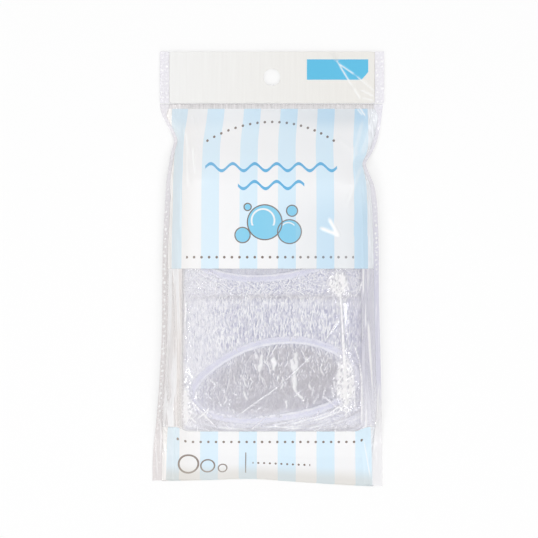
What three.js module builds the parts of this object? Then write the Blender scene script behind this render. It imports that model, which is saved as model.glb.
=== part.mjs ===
// A hanging retail pack of folded disposable shower caps, lying on its back.
// Millimetres, +Z up. The origin is under the middle of the pack, on the surface it lies on.
// X runs across the pack, +Y runs towards the header, and the printed front faces +Z.
import * as THREE from "three";

const { smoothstep, lerp } = THREE.MathUtils;

// Film and fits
const FILM = 0.3; // one leaf of film
const FILM_GAP = 0.3; // clear space between two leaves that lie flat together
const JOIN_GAP = 0.3; // clear space where one zone of film ends and the next begins

// One folded cap
const CAP_WIDTH = 84;
const CAP_LENGTH = 65.5;
const CAP_THICKNESS = 3.2; // where it is thickest, pressed by the bag
const CAP_CORNER_POWER = 3.2; // 2 is an ellipse, and more is squarer
const PLEATS = 14; // gathers round the mouth
const PLEAT_DEPTH = 1;
const PLEAT_SCALLOP = 0.7; // how far the outline draws in at each gather
const MOUTH_WIDTH = 76;
const MOUTH_LENGTH = 37;
const MOUTH_DROP = 8; // from the cap's centre towards the foot of the bag
const MOUTH_WALL_LEAN = 0.4;
const ELASTIC_DIAMETER = 1.2;
const ELASTIC_CLEARANCE = 0.15; // round the elastic in its hem
const ELASTIC_SIDES = 5;

// The two stacks of caps
const CAPS_PER_STACK = 5;
const STACK_GAP = 1;
const CAP_GAP = 0.3; // between one cap and the next
const BAG_GAP = 0.6; // between the caps and the leaves, which follow the stacks in facets

// The bag round the stacks
const SIDE_ROOM = 4.6; // from a cap's edge to the side weld
const WELD_WIDTH = 4.4;
const FOOT_BAND = 22.5; // flat film from the caps to the bottom fold
const FOOT_SLOPE = 12; // the part of that band where the front leaf comes down
const FOOT_SPREAD = 4; // how far each side stands out at the foot, where the bag is flat
const SHOULDER = 25.5; // from the caps to the crease under the header
const PINCH_DRAW = 5; // how far each side is drawn in at the shoulder
const PINCH_LEFT = 17; // from the crease down to the left pinch
const PINCH_RIGHT = 27;
const SEAM_RISE = 4; // how far the side welds are lifted beside the stacks
const LIFT_WIDTH = 14; // the margin along each weld where the back leaf leaves the surface
const PILLOW_POWER = 5; // how square the bag's section is
const RISE_RUN = 14; // over which the caps reach their full height at each end
const SHOULDER_FLAT = 3.5; // flat film just under the crease

// The print on the front leaf
const PRINT_DROP = 3.3; // clear film between the crease and the upper print
const UPPER_PRINT = 74.7;
const LOWER_PRINT = 24.4;

// The header
const HEADER_HEIGHT = 25;
const HEADER_SPREAD = 2.3; // how far each side stands out beyond the bag beside the stacks
const HANG_HOLE_DIAMETER = 8;
const HANG_HOLE_DROP = 12.2; // from the header's top edge
const LIP_HEIGHT = 9; // the front leaf's lip, inside the header
const TAPE_HEIGHT = 6;
const TAPE_THICKNESS = 0.2;
const TAPE_INSET = 1.5; // from the crease, and from each weld
const CREASE_GAP = 0.5; // where the header folds

// Facets
const CAP_STEPS = 2 * PLEATS; // a ridge and a valley for each pleat
const FLOOR_STEP = 9; // between the two rings of a mouth's floor
const PLEAT_RINGS = [0.4, 0.75, 0.94, 1]; // shares of the way from the mouth to the outline
const LEAF_COLUMNS = 16;
const BACK_COLUMNS = 8;
const ROW_PITCH = 5.2;
const HOLE_STEPS = 12; // in half a turn

// Places along the pack
const CAPS_LENGTH = 2 * CAP_LENGTH + STACK_GAP;
const LENGTH = FOOT_BAND + CAPS_LENGTH + SHOULDER + HEADER_HEIGHT;
const FOOT_Y = -LENGTH / 2;
const CAPS_FOOT_Y = FOOT_Y + FOOT_BAND;
const CAPS_HEAD_Y = CAPS_FOOT_Y + CAPS_LENGTH;
const CREASE_Y = CAPS_HEAD_Y + SHOULDER;
const HEADER_Y = CREASE_Y + CREASE_GAP;
const HEADER_TOP_Y = CREASE_Y + HEADER_HEIGHT;
const WINDOW_HEAD_Y = CREASE_Y - PRINT_DROP - UPPER_PRINT;
const WINDOW_FOOT_Y = FOOT_Y + LOWER_PRINT;

// Heights
const BAND_HEIGHT = 2 * FILM + FILM_GAP; // two leaves with nothing between them
const STACK_HEIGHT = CAPS_PER_STACK * (CAP_THICKNESS + CAP_GAP) - CAP_GAP;
const STACK_TOP = 2 * (FILM + BAG_GAP) + STACK_HEIGHT;
const FOLD_RADIUS = BAND_HEIGHT / 2;
const LEAF_FOOT_Y = FOOT_Y + FOLD_RADIUS + JOIN_GAP;

// Half widths
const STACK_HALF = CAP_WIDTH / 2 + SIDE_ROOM + WELD_WIDTH;
const FOOT_HALF = STACK_HALF + FOOT_SPREAD;
const PINCH_HALF = STACK_HALF - PINCH_DRAW;
const HEADER_HALF = STACK_HALF + HEADER_SPREAD;

// Finishes
const plastic = (color, roughness, opacity = 1) =>
  new THREE.MeshStandardMaterial({ color, roughness, metalness: 0, opacity, transparent: opacity < 1 });
const CLEAR_FILM = plastic(0xeef0f5, 0.12, 0.35);
const PRINTED_FILM = plastic(0xd9ebf7, 0.3);
const WHITE_FILM = plastic(0xf3f3ef, 0.3);
const WELDED_FILM = plastic(0xe2deea, 0.35, 0.7);
const CAP_FILM = plastic(0xe3e3ec, 0.2, 0.6);
const ELASTIC = plastic(0xf4f3fa, 0.6);
const TAPE = plastic(0xe4e0db, 0.25, 0.7);

const pack = new THREE.Group();

// Names a piece and puts it in the pack.
function add(name, geometry, material) {
  const mesh = new THREE.Mesh(geometry, material);
  mesh.name = name;
  pack.add(mesh);
}

// A geometry from points and the corners of its triangles.
function meshOf(points, corners) {
  const geometry = new THREE.BufferGeometry().setFromPoints(points);
  geometry.setIndex(corners);
  geometry.computeVertexNormals();
  return geometry;
}

// Values from start to end in equal steps of about the given pitch.
function spaced(start, end, pitch) {
  const steps = Math.max(1, Math.round((end - start) / pitch));
  return Array.from({ length: steps + 1 }, (_, i) => lerp(start, end, i / steps));
}

// Values from -1 to 1 that crowd towards both ends, where the film turns down.
function acrossLeaf(columns) {
  return Array.from({ length: columns + 1 }, (_, i) => Math.sin((i / columns - 0.5) * Math.PI));
}

// A smooth path through [place, value] stations, level at each of them.
function through(stations, place) {
  const next = stations.findIndex(([at]) => at > place);
  if (next === 0) return stations[0][1];
  if (next < 0) return stations.at(-1)[1];
  const [[fromAt, from], [toAt, to]] = stations.slice(next - 1, next + 1);
  return lerp(from, to, smoothstep(place, fromAt, toAt));
}

// The bag's outline: half its width on one side at a place along it.
function halfWidth(y, side) {
  const pinch = CREASE_Y - (side < 0 ? PINCH_LEFT : PINCH_RIGHT);
  const stations = [
    [FOOT_Y, FOOT_HALF],
    [CAPS_FOOT_Y + CAP_LENGTH, STACK_HALF],
    [CAPS_HEAD_Y - CAP_LENGTH / 2, STACK_HALF],
    [pinch, PINCH_HALF],
    [CREASE_Y, HEADER_HALF],
  ];
  return through(stations, y);
}

// 0 where the two leaves lie flat together, and 1 over the stacks.
function bulge(y) {
  const foot = smoothstep(y, CAPS_FOOT_Y - FOOT_SLOPE, CAPS_FOOT_Y + RISE_RUN);
  const head = smoothstep(y, CAPS_HEAD_Y - RISE_RUN, CREASE_Y - SHOULDER_FLAT);
  return foot * (1 - head);
}

const seamHeight = (y) => BAND_HEIGHT / 2 + SEAM_RISE * bulge(y);
const leafHalf = (y, side) => halfWidth(y, side) - WELD_WIDTH - JOIN_GAP;

// A point on the outside of the front leaf. across runs from -1 to 1 between the side welds.
function frontOuter(across, y) {
  const edge = seamHeight(y) + BAND_HEIGHT / 2;
  const crown = lerp(BAND_HEIGHT, STACK_TOP, bulge(y));
  const pillow = Math.sqrt(1 - Math.abs(across) ** PILLOW_POWER);
  return new THREE.Vector3(across * leafHalf(y, across), y, lerp(edge, crown, pillow));
}

// A point on the outside of the back leaf, which lies flat under the stacks and lifts to the welds.
function backOuter(across, y) {
  const half = leafHalf(y, across);
  const x = across * half;
  const lifted = Math.max(0, Math.abs(x) - half + LIFT_WIDTH) / LIFT_WIDTH;
  return new THREE.Vector3(x, y, (seamHeight(y) - BAND_HEIGHT / 2) * lifted ** 2);
}

// The upward normal of a leaf, from short steps along it and across it.
function leafNormal(leaf, across, y) {
  const step = 0.001;
  const left = Math.max(-1, across - step);
  const right = Math.min(1, across + step);
  const alongX = leaf(right, y).sub(leaf(left, y));
  const alongY = leaf(across, y + step).sub(leaf(across, y - step));
  return alongX.cross(alongY).normalize();
}

// A closed sheet between an upper and a lower surface, both given by (across, y).
function sheet(columns, rows, upper, lower) {
  const points = [upper, lower].flatMap((surface) =>
    rows.flatMap((y) => columns.map((across) => surface(across, y))),
  );
  const width = columns.length;
  const below = width * rows.length;
  const corners = [];
  const quad = (a, b, c, d) => corners.push(a, b, c, a, c, d);
  for (let row = 0; row < rows.length - 1; row++) {
    for (let column = 0; column < width - 1; column++) {
      const a = row * width + column;
      quad(a, a + 1, a + width + 1, a + width);
      quad(below + a, below + a + width, below + a + width + 1, below + a + 1);
    }
    const left = row * width;
    const right = left + width - 1;
    quad(below + left + width, below + left, left, left + width);
    quad(below + right, below + right + width, right + width, right);
  }
  const last = below - width;
  for (let column = 0; column < width - 1; column++) {
    quad(below + column, below + column + 1, column + 1, column);
    const far = last + column;
    quad(below + far + 1, below + far, far, far + 1);
  }
  return meshOf(points, corners);
}

// One zone of the front leaf between two places along the bag.
function frontLeaf(fromY, toY) {
  const inner = (across, y) =>
    frontOuter(across, y).addScaledVector(leafNormal(frontOuter, across, y), -FILM);
  return sheet(acrossLeaf(LEAF_COLUMNS), spaced(fromY, toY, ROW_PITCH), frontOuter, inner);
}

function backLeaf() {
  const inner = (across, y) =>
    backOuter(across, y).addScaledVector(leafNormal(backOuter, across, y), FILM);
  return sheet(acrossLeaf(BACK_COLUMNS), spaced(LEAF_FOOT_Y, CREASE_Y, ROW_PITCH), inner, backOuter);
}

// The strip where both leaves are welded together along one side of the bag.
function sideWeld(side) {
  const surface = (height) => (share, y) => {
    const outer = halfWidth(y, side);
    const x = side < 0 ? lerp(-outer, WELD_WIDTH - outer, share) : lerp(outer - WELD_WIDTH, outer, share);
    return new THREE.Vector3(x, y, seamHeight(y) + height);
  };
  return sheet([0, 1], spaced(FOOT_Y, CREASE_Y, ROW_PITCH), surface(FILM), surface(-FILM));
}

// The round turn at the foot, where the back leaf becomes the front leaf.
function bottomFold() {
  const half = leafHalf(FOOT_Y, 1);
  const turn = new THREE.Shape();
  turn.absarc(0, 0, FOLD_RADIUS, Math.PI / 2, (3 * Math.PI) / 2, false);
  turn.absarc(0, 0, FOLD_RADIUS - FILM, (3 * Math.PI) / 2, Math.PI / 2, true);
  const geometry = new THREE.ExtrudeGeometry(turn, { depth: 2 * half, bevelEnabled: false, curveSegments: 6 });
  // The shape's x runs along the pack, its y runs up, and the extrusion runs across.
  const alongPack = new THREE.Vector3(0, 1, 0);
  const up = new THREE.Vector3(0, 0, 1);
  const acrossPack = new THREE.Vector3(1, 0, 0);
  geometry.applyMatrix4(new THREE.Matrix4().makeBasis(alongPack, up, acrossPack));
  return geometry.translate(-half, FOOT_Y + FOLD_RADIUS, FOLD_RADIUS);
}

// The space that one cap has between the leaves: its underside and its thickness at (x, y).
function capSpace(x, y, layer) {
  const across = x / leafHalf(y, x);
  const front = frontOuter(across, y).z - FILM / leafNormal(frontOuter, across, y).z;
  const back = backOuter(across, y).z + FILM / leafNormal(backOuter, across, y).z;
  const pitch = (front - back - 2 * BAG_GAP + CAP_GAP) / CAPS_PER_STACK;
  return { under: back + BAG_GAP + layer * pitch, thickness: pitch - CAP_GAP };
}

const superellipse = (value) => Math.sign(value) * Math.abs(value) ** (2 / CAP_CORNER_POWER);

// The outline of a folded cap at an angle, drawn in at every second step by the gathers.
function capOutline(angle, ridge) {
  const drawn = ridge ? 0 : PLEAT_SCALLOP;
  return new THREE.Vector2(
    (CAP_WIDTH / 2 - drawn) * superellipse(Math.cos(angle)),
    (CAP_LENGTH / 2 - drawn) * superellipse(Math.sin(angle)),
  );
}

// The mouth's outline at an angle, grown by a margin.
function mouthOutline(angle, margin) {
  const x = (MOUTH_WIDTH / 2 + margin) * Math.cos(angle);
  const y = (MOUTH_LENGTH / 2 + margin) * Math.sin(angle) - MOUTH_DROP;
  return new THREE.Vector2(x, y);
}

const stepAngle = (step) => (2 * Math.PI * step) / CAP_STEPS;
const capCentreY = (stack) => CAPS_FOOT_Y + CAP_LENGTH / 2 + stack * (CAP_LENGTH + STACK_GAP);
const MOUTH_DEPTH = ELASTIC_DIAMETER + 2 * ELASTIC_CLEARANCE;

// Rings of one cap from the middle of its mouth to its outline. Each gives the plan point of a step,
// how far the upper face is sunk there, and the share of the thickness that is left.
const CAP_RINGS = [
  { plan: (angle) => mouthOutline(angle, -FLOOR_STEP), sunk: () => MOUTH_DEPTH, full: 1 },
  { plan: (angle) => mouthOutline(angle, 0), sunk: () => MOUTH_DEPTH, full: 1 },
  { plan: (angle) => mouthOutline(angle, MOUTH_WALL_LEAN), sunk: () => 0, full: 1 },
  ...PLEAT_RINGS.map((share) => ({
    plan: (angle, ridge) =>
      mouthOutline(angle, MOUTH_WALL_LEAN).lerp(capOutline(angle, ridge), share),
    sunk: (ridge) => (ridge ? 0 : PLEAT_DEPTH * Math.sin(Math.PI * share)),
    full: Math.sqrt(1 - share ** 4),
  })),
];

// A folded cap: its film pressed flat, gathered in pleats round an oval mouth that faces the front.
function capFilm(stack, layer) {
  const centreY = capCentreY(stack);
  const faces = { upper: [], lower: [] };
  const place = (plan, sunk, full) => {
    const y = centreY + plan.y;
    const { under, thickness } = capSpace(plan.x, y, layer);
    const middle = under + thickness / 2;
    const half = (thickness / 2) * full;
    faces.upper.push(new THREE.Vector3(plan.x, y, middle + half - sunk * full));
    faces.lower.push(new THREE.Vector3(plan.x, y, middle - half));
  };
  place(new THREE.Vector2(0, -MOUTH_DROP), MOUTH_DEPTH, 1);
  for (const { plan, sunk, full } of CAP_RINGS) {
    for (let step = 0; step < CAP_STEPS; step++) {
      const ridge = step % 2 === 0;
      place(plan(stepAngle(step), ridge), sunk(ridge), full);
    }
  }
  // The two faces share their last ring, which is the cap's edge.
  const inner = faces.upper.length - CAP_STEPS;
  const points = [...faces.upper, ...faces.lower.slice(0, inner)];
  const lowerPoint = (index) => (index < inner ? faces.upper.length + index : index);
  const corners = [];
  const triangle = (a, b, c) => corners.push(a, b, c, lowerPoint(a), lowerPoint(c), lowerPoint(b));
  for (let step = 0; step < CAP_STEPS; step++) {
    const next = (step + 1) % CAP_STEPS;
    triangle(0, 1 + step, 1 + next);
    for (let ring = 0; ring < CAP_RINGS.length - 1; ring++) {
      const near = 1 + ring * CAP_STEPS;
      const far = near + CAP_STEPS;
      triangle(near + step, far + step, far + next);
      triangle(near + step, far + next, near + next);
    }
  }
  return meshOf(points, corners);
}

// The elastic that gathers a cap: a closed round cord against the wall of the mouth.
function capElastic(stack, layer) {
  const radius = ELASTIC_DIAMETER / 2;
  const inset = -(radius + 2 * ELASTIC_CLEARANCE);
  const centreY = capCentreY(stack);
  const points = [];
  for (let step = 0; step < CAP_STEPS; step++) {
    const angle = stepAngle(step);
    const plan = mouthOutline(angle, inset);
    const { under, thickness } = capSpace(plan.x, centreY + plan.y, layer);
    const height = under + thickness - ELASTIC_CLEARANCE - radius;
    const outward = mouthOutline(angle, 0).sub(mouthOutline(angle, -1)).normalize();
    for (let side = 0; side < ELASTIC_SIDES; side++) {
      const turn = (2 * Math.PI * (side + 0.25)) / ELASTIC_SIDES;
      const out = radius * Math.cos(turn);
      points.push(
        new THREE.Vector3(
          plan.x + out * outward.x,
          centreY + plan.y + out * outward.y,
          height + radius * Math.sin(turn),
        ),
      );
    }
  }
  const corners = [];
  for (let step = 0; step < CAP_STEPS; step++) {
    const near = step * ELASTIC_SIDES;
    const far = ((step + 1) % CAP_STEPS) * ELASTIC_SIDES;
    for (let side = 0; side < ELASTIC_SIDES; side++) {
      const next = (side + 1) % ELASTIC_SIDES;
      corners.push(near + side, far + side, far + next, near + side, far + next, near + next);
    }
  }
  return meshOf(points, corners);
}

// A flat rectangle of film between two welds, lying from one height to another.
function plate(half, fromY, toY, fromZ, toZ) {
  const geometry = new THREE.BoxGeometry(2 * half, toY - fromY, toZ - fromZ);
  return geometry.translate(0, (fromY + toY) / 2, (fromZ + toZ) / 2);
}

// A leaf of the header with the hang hole punched through it.
function headerLeaf(fromZ) {
  const half = HEADER_HALF - WELD_WIDTH - JOIN_GAP;
  const outline = new THREE.Shape();
  outline.moveTo(-half, HEADER_Y);
  outline.lineTo(half, HEADER_Y);
  outline.lineTo(half, HEADER_TOP_Y);
  outline.lineTo(-half, HEADER_TOP_Y);
  outline.closePath();
  const hole = new THREE.Path();
  hole.absarc(0, HEADER_TOP_Y - HANG_HOLE_DROP, HANG_HOLE_DIAMETER / 2, 0, 2 * Math.PI, true);
  outline.holes.push(hole);
  const geometry = new THREE.ExtrudeGeometry(outline, {
    depth: FILM,
    bevelEnabled: false,
    curveSegments: HOLE_STEPS,
  });
  return geometry.translate(0, 0, fromZ);
}

// The header: two leaves with the bag's lip and its closing tape between them, welded at both sides.
const LIP_Z = FILM + FILM_GAP;
const TAPE_Z = LIP_Z + FILM;
const HEADER_FRONT_Z = TAPE_Z + TAPE_THICKNESS;
const HEADER_DEPTH = HEADER_FRONT_Z + FILM;

function headerWeld(side) {
  const width = WELD_WIDTH;
  const geometry = new THREE.BoxGeometry(width, HEADER_TOP_Y - HEADER_Y, HEADER_DEPTH);
  const x = side * (HEADER_HALF - width / 2);
  return geometry.translate(x, (HEADER_TOP_Y + HEADER_Y) / 2, HEADER_DEPTH / 2);
}

add("back_leaf", backLeaf(), CLEAR_FILM);
add("front_upper_print", frontLeaf(WINDOW_HEAD_Y, CREASE_Y), PRINTED_FILM);
add("front_window", frontLeaf(WINDOW_FOOT_Y + JOIN_GAP, WINDOW_HEAD_Y - JOIN_GAP), CLEAR_FILM);
add("front_lower_print", frontLeaf(LEAF_FOOT_Y, WINDOW_FOOT_Y), PRINTED_FILM);
add("side_weld_left", sideWeld(-1), WELDED_FILM);
add("side_weld_right", sideWeld(1), WELDED_FILM);
add("bottom_fold", bottomFold(), PRINTED_FILM);

["lower", "upper"].forEach((stackName, stack) => {
  for (let layer = 0; layer < CAPS_PER_STACK; layer++) {
    const number = layer + 1;
    add(`cap_film_${stackName}_${number}`, capFilm(stack, layer), CAP_FILM);
    add(`cap_elastic_${stackName}_${number}`, capElastic(stack, layer), ELASTIC);
  }
});

const headerInner = HEADER_HALF - WELD_WIDTH - JOIN_GAP;
const tapeFoot = HEADER_Y + TAPE_INSET;
add("header_back_leaf", headerLeaf(0), WHITE_FILM);
add("header_front_leaf", headerLeaf(HEADER_FRONT_Z), WHITE_FILM);
add("sealing_lip", plate(headerInner, HEADER_Y, HEADER_Y + LIP_HEIGHT, LIP_Z, LIP_Z + FILM), CLEAR_FILM);
add(
  "closing_tape",
  plate(headerInner - TAPE_INSET, tapeFoot, tapeFoot + TAPE_HEIGHT, TAPE_Z, TAPE_Z + TAPE_THICKNESS),
  TAPE,
);
add("header_weld_left", headerWeld(-1), WELDED_FILM);
add("header_weld_right", headerWeld(1), WELDED_FILM);

export default pack;
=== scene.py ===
# %% [markdown]
# # A hanging pack of folded shower caps
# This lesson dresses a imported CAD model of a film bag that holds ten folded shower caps. The CAD model
# gives the sizes, the places and the motion. Everything that shows is a thin, shiny, creased film, so
# nearly every piece here is a surface worked out with numpy: a height over a grid, carried into a mesh as
# whole arrays.

# %% Load the frame
from collections import namedtuple

import bpy
import numpy as np
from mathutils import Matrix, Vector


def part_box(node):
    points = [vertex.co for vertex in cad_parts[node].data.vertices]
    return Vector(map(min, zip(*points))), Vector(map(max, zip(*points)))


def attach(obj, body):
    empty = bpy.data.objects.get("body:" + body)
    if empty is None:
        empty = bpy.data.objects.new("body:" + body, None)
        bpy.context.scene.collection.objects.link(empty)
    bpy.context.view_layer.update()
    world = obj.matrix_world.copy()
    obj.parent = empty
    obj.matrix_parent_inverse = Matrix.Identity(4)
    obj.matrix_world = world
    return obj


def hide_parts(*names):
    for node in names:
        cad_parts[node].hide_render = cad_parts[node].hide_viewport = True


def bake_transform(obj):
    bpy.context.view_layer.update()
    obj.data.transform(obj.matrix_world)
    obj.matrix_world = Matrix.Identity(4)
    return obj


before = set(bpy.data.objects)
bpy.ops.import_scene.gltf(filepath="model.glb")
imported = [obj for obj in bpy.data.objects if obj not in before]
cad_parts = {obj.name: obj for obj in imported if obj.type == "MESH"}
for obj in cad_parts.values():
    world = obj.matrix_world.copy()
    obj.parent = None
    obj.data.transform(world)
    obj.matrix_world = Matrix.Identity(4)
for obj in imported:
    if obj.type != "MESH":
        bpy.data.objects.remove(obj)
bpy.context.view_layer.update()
print("frame loaded with", len(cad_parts), "nodes")

# %% [markdown]
# ## Sizes from the frame
# All lengths below are in millimetres, because film and print are easier to think about that way. They
# become metres only when a mesh is made. The places along the pack could be typed in again, but they come
# from the boxes of the CAD nodes, so that the film, the caps and the header land where the model says.

# %% Sizes and places
MM = 0.001


def node_box(node):
    """The lowest and highest corner of a CAD node, in millimetres."""
    low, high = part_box(node)
    return np.array(low) / MM, np.array(high) / MM


FOOT_Y, CREASE_Y = node_box("side_weld_left")[0][1], node_box("side_weld_left")[1][1]
HEADER_Y, HEADER_TOP = node_box("header_front_leaf")[0][1], node_box("header_front_leaf")[1][1]
HEADER_HALF = node_box("header_weld_right")[1][0]
HEADER_Z = node_box("header_weld_right")[1][2]
STACK_TOP = node_box("front_upper_print")[1][2]
WINDOW_HEAD, WINDOW_FOOT = node_box("front_window")[1][1], node_box("front_window")[0][1]
CAPS_FOOT, CAPS_HEAD = node_box("cap_film_lower_5")[0][1], node_box("cap_film_upper_5")[1][1]
CAP_SIZE = node_box("cap_film_upper_5")[1] - node_box("cap_film_upper_5")[0]
WELD_WIDTH = 4.4
BAND_HEIGHT = 0.9
FILM = 0.06
print("the pack runs from", FOOT_Y, "to", HEADER_TOP, "mm and is", STACK_TOP, "mm high")

# %% [markdown]
# ## Meshes from grids
# A surface is a function of two parameters. Sampled on a grid it becomes an array of points with a row and
# a column index, and the faces follow from those indices alone. Points could be added one by one, but whole
# arrays are faster and shorter, so one helper turns any such array into a mesh, with optional closed edges,
# a flat map for printing and named values for the materials to read.


# %% Helpers that make meshes
def grid_faces(rows, columns, round_rows=False, round_columns=False):
    """Four corners for each cell of a grid of points, also across the edges that close on themselves."""
    row = np.arange(rows if round_rows else rows - 1)[:, None]
    column = np.arange(columns if round_columns else columns - 1)[None, :]
    next_row, next_column = (row + 1) % rows, (column + 1) % columns
    corners = [row * columns + column, row * columns + next_column]
    corners += [next_row * columns + next_column, next_row * columns + column]
    return np.stack(np.broadcast_arrays(*corners), -1).reshape(-1, 4)


def make_mesh(name, points, faces, flat=None, **values):
    """A smooth mesh object from points in millimetres and the corners of its faces."""
    mesh = bpy.data.meshes.new(name)
    mesh.vertices.add(len(points))
    mesh.vertices.foreach_set("co", (np.asarray(points) * MM).astype(np.float32).ravel())
    mesh.loops.add(faces.size)
    mesh.loops.foreach_set("vertex_index", faces.astype(np.int32).ravel())
    mesh.polygons.add(len(faces))
    mesh.polygons.foreach_set("loop_start", np.arange(0, faces.size, faces.shape[1], dtype=np.int32))
    if flat is not None:
        layer = mesh.uv_layers.new(name="flat")
        layer.data.foreach_set("uv", flat[faces.ravel()].astype(np.float32).ravel())
    for key, value in values.items():
        field = mesh.attributes.new(key, "FLOAT", "POINT")
        field.data.foreach_set("value", np.asarray(value, np.float32).ravel())
    mesh.update(calc_edges=True)
    mesh.validate()
    mesh.shade_smooth()
    made = bpy.data.objects.new(name, mesh)
    bpy.context.scene.collection.objects.link(made)
    return made


def make_grid(name, points, round_rows=False, round_columns=False, flat=None, **values):
    """A mesh object from an array of points with rows and columns."""
    rows, columns = points.shape[:2]
    faces = grid_faces(rows, columns, round_rows, round_columns)
    flat = None if flat is None else flat.reshape(-1, 2)
    return make_mesh(name, points.reshape(-1, 3), faces, flat, **values)


def give_thickness(piece, thickness):
    """Gives a film its second face and its rim, on the side away from its normals."""
    solid = piece.modifiers.new("film thickness", "SOLIDIFY")
    solid.thickness = thickness * MM
    solid.offset = -1
    return piece


open_cells, closed_cells = len(grid_faces(3, 4)), len(grid_faces(3, 4, True, True))
print("a grid of 3 by 4 points has", open_cells, "faces, and", closed_cells, "if its edges are closed")

# %% [markdown]
# ## The language of creased film
# Film makes three kinds of form. It ripples softly where it is slack, which is a sum of sines. It crumples
# into flat facets with sharp edges where it was squeezed, which is a sum of tent waves on a bent plane. And
# it buckles into single ridges where it is pulled, which are bell profiles along straight lines. A cloth
# simulation could make them too, but not in chosen places, and here the places follow the real pack. These
# three are all that follows.


# %% Ripples, crumples and ridges
def smooth(value, start, end):
    """A step from 0 to 1 that is level at both ends: t t (3 - 2 t)."""
    t = np.clip((value - start) / (end - start), 0, 1)
    return t * t * (3 - 2 * t)


def bell(value, middle, width):
    """1 at the middle, falling away on both sides: exp(-((value - middle) / width)^2)."""
    return np.exp(-(((value - middle) / width) ** 2))


def through(stations, place):
    """A smooth path through (place, value) stations: cubic pieces whose slopes come from the neighbours."""
    at, value = np.array(stations, float).T
    slope = np.gradient(value, at)
    i = np.clip(np.searchsorted(at, place) - 1, 0, len(at) - 2)
    step = at[i + 1] - at[i]
    t = np.clip((place - at[i]) / step, 0, 1)
    rise = (2 * t**3 - 3 * t**2 + 1) * value[i] + (3 * t**2 - 2 * t**3) * value[i + 1]
    return rise + step * ((t**3 - 2 * t**2 + t) * slope[i] + (t**3 - t**2) * slope[i + 1])


def directions(size, seed, count):
    """Seeded wave directions, wave numbers and phases for sums of waves of about one size."""
    random = np.random.default_rng(seed)
    angle = random.uniform(0, np.pi, count)
    number = 1 / (size * random.uniform(0.7, 1.5, count))
    return np.cos(angle) * number, np.sin(angle) * number, random.uniform(0, 1, count)


def ripple(x, y, size, seed, count=7):
    """A soft slack surface: the sum of sines that run in seeded directions, scaled to about 1."""
    along_x, along_y, phase = directions(size, seed, count)
    turns = x[..., None] * along_x + y[..., None] * along_y + phase
    return np.sin(2 * np.pi * turns).sum(-1) / np.sqrt(count)


def tent(turns):
    """Straight up and straight down again in each turn, from -1 to 1."""
    return 4 * np.abs(turns - np.floor(turns) - 0.5) - 1


def crumple(x, y, size, seed, count=9):
    """A crumpled surface: tent waves in seeded directions, on a plane that a slow ripple has bent."""
    bend, slow = 0.35 * size, 2.6 * size
    bent_x = x + bend * ripple(x, y, slow, seed + 1)
    bent_y = y + bend * ripple(x, y, slow, seed + 2)
    along_x, along_y, phase = directions(size, seed, count)
    turns = bent_x[..., None] * along_x + bent_y[..., None] * along_y + phase
    return tent(turns).sum(-1) / np.sqrt(count)


def ridge(x, y, start, end, width):
    """A crease along a line: a bell of the distance from it, fading to nothing at the two ends."""
    run = np.subtract(end, start)
    length = np.hypot(*run)
    along = ((x - start[0]) * run[0] + (y - start[1]) * run[1]) / length**2
    away = ((x - start[0]) * run[1] - (y - start[1]) * run[0]) / length
    inside = np.clip(along, 0, 1)
    fade = np.clip(6 * inside * (1 - inside), 0, 1)
    return bell(away, 0, width) * fade


def ridges(x, y, lines):
    """The sum of creases given as (start, end, height, width)."""
    return sum(height * ridge(x, y, start, end, width) for start, end, height, width in lines)


sample = np.linspace(0, 100, 2001)
spread = np.std(crumple(sample, 0 * sample, 3, 1))
print("a crumple strays by about", round(float(spread), 2), "of its height either way")

# %% [markdown]
# ## The bag as one formula
# The bag is a flat tube of film, drawn into a pillow by two stacks of caps. Its outline is a smooth path on
# each side: wide and flat at the foot, a little narrower beside the stacks, pinched at the shoulder and
# wide again at the header. Its section is a pillow whose height follows a bulge along the bag. The two
# pinches sit at different places, because the stacks lie a little askew. All the pieces of the bag ask the
# same few functions, so that they meet without gaps.

# %% The outline and the pillow
LEFT_EDGE = [(-102.5, -56.9), (-88, -56.6), (-73, -55.0), (-58, -53.8), (-34, -52.5), (8, -51.9)]
LEFT_EDGE += [(31, -50.8), (41, -50.1), (49, -49.0), (55, -47.9), (60, -46.7)]
LEFT_EDGE += [(64, -48.0), (68, -50.1), (73, -52.5), (77.5, -53.4)]
RIGHT_EDGE = [(-102.5, 52.5), (-58, 51.9), (-15, 50.9), (22, 50.3), (32, 49.7), (40, 48.1)]
RIGHT_EDGE += [(45, 45.9), (49, 44.7), (54.5, 47.6), (61, 50.2), (68, 51.6), (77.5, 52.8)]
FOOT_WAVE = [(-56, 0.9), (-30, 1.5), (-10, 2.0), (12, 0.6), (35, -0.9), (54, -1.8)]
FOOT_SLOPE, RISE_RUN, SHOULDER_FLAT = 12, 14, 3.5
SEAM_RISE, WELD_DROP, LIFT_WIDTH, PILLOW_POWER = 5.2, 3.2, 14, 5
PINCH_START, PINCH_FULL, PINCH_LEAVES = 10, 45, 71
TURNED_BY_STACKS, TURNED_BY_PINCH = 0.45, 0.62


def bulge(y):
    """0 where the two films lie flat together, and 1 over the stacks."""
    foot = smooth(y, CAPS_FOOT - FOOT_SLOPE, CAPS_FOOT + RISE_RUN)
    return foot * (1 - smooth(y, CAPS_HEAD - RISE_RUN, CREASE_Y - SHOULDER_FLAT))


def seam_height(y):
    """The height of the side welds' inner edges, which the pillow lifts off the table."""
    return BAND_HEIGHT / 2 + SEAM_RISE * bulge(y)


def pinch(y):
    """1 along the shoulder, where the welds are rolled under, and 0 elsewhere."""
    return smooth(y, PINCH_START, PINCH_FULL) * (1 - smooth(y, PINCH_LEAVES, CREASE_Y))


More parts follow.
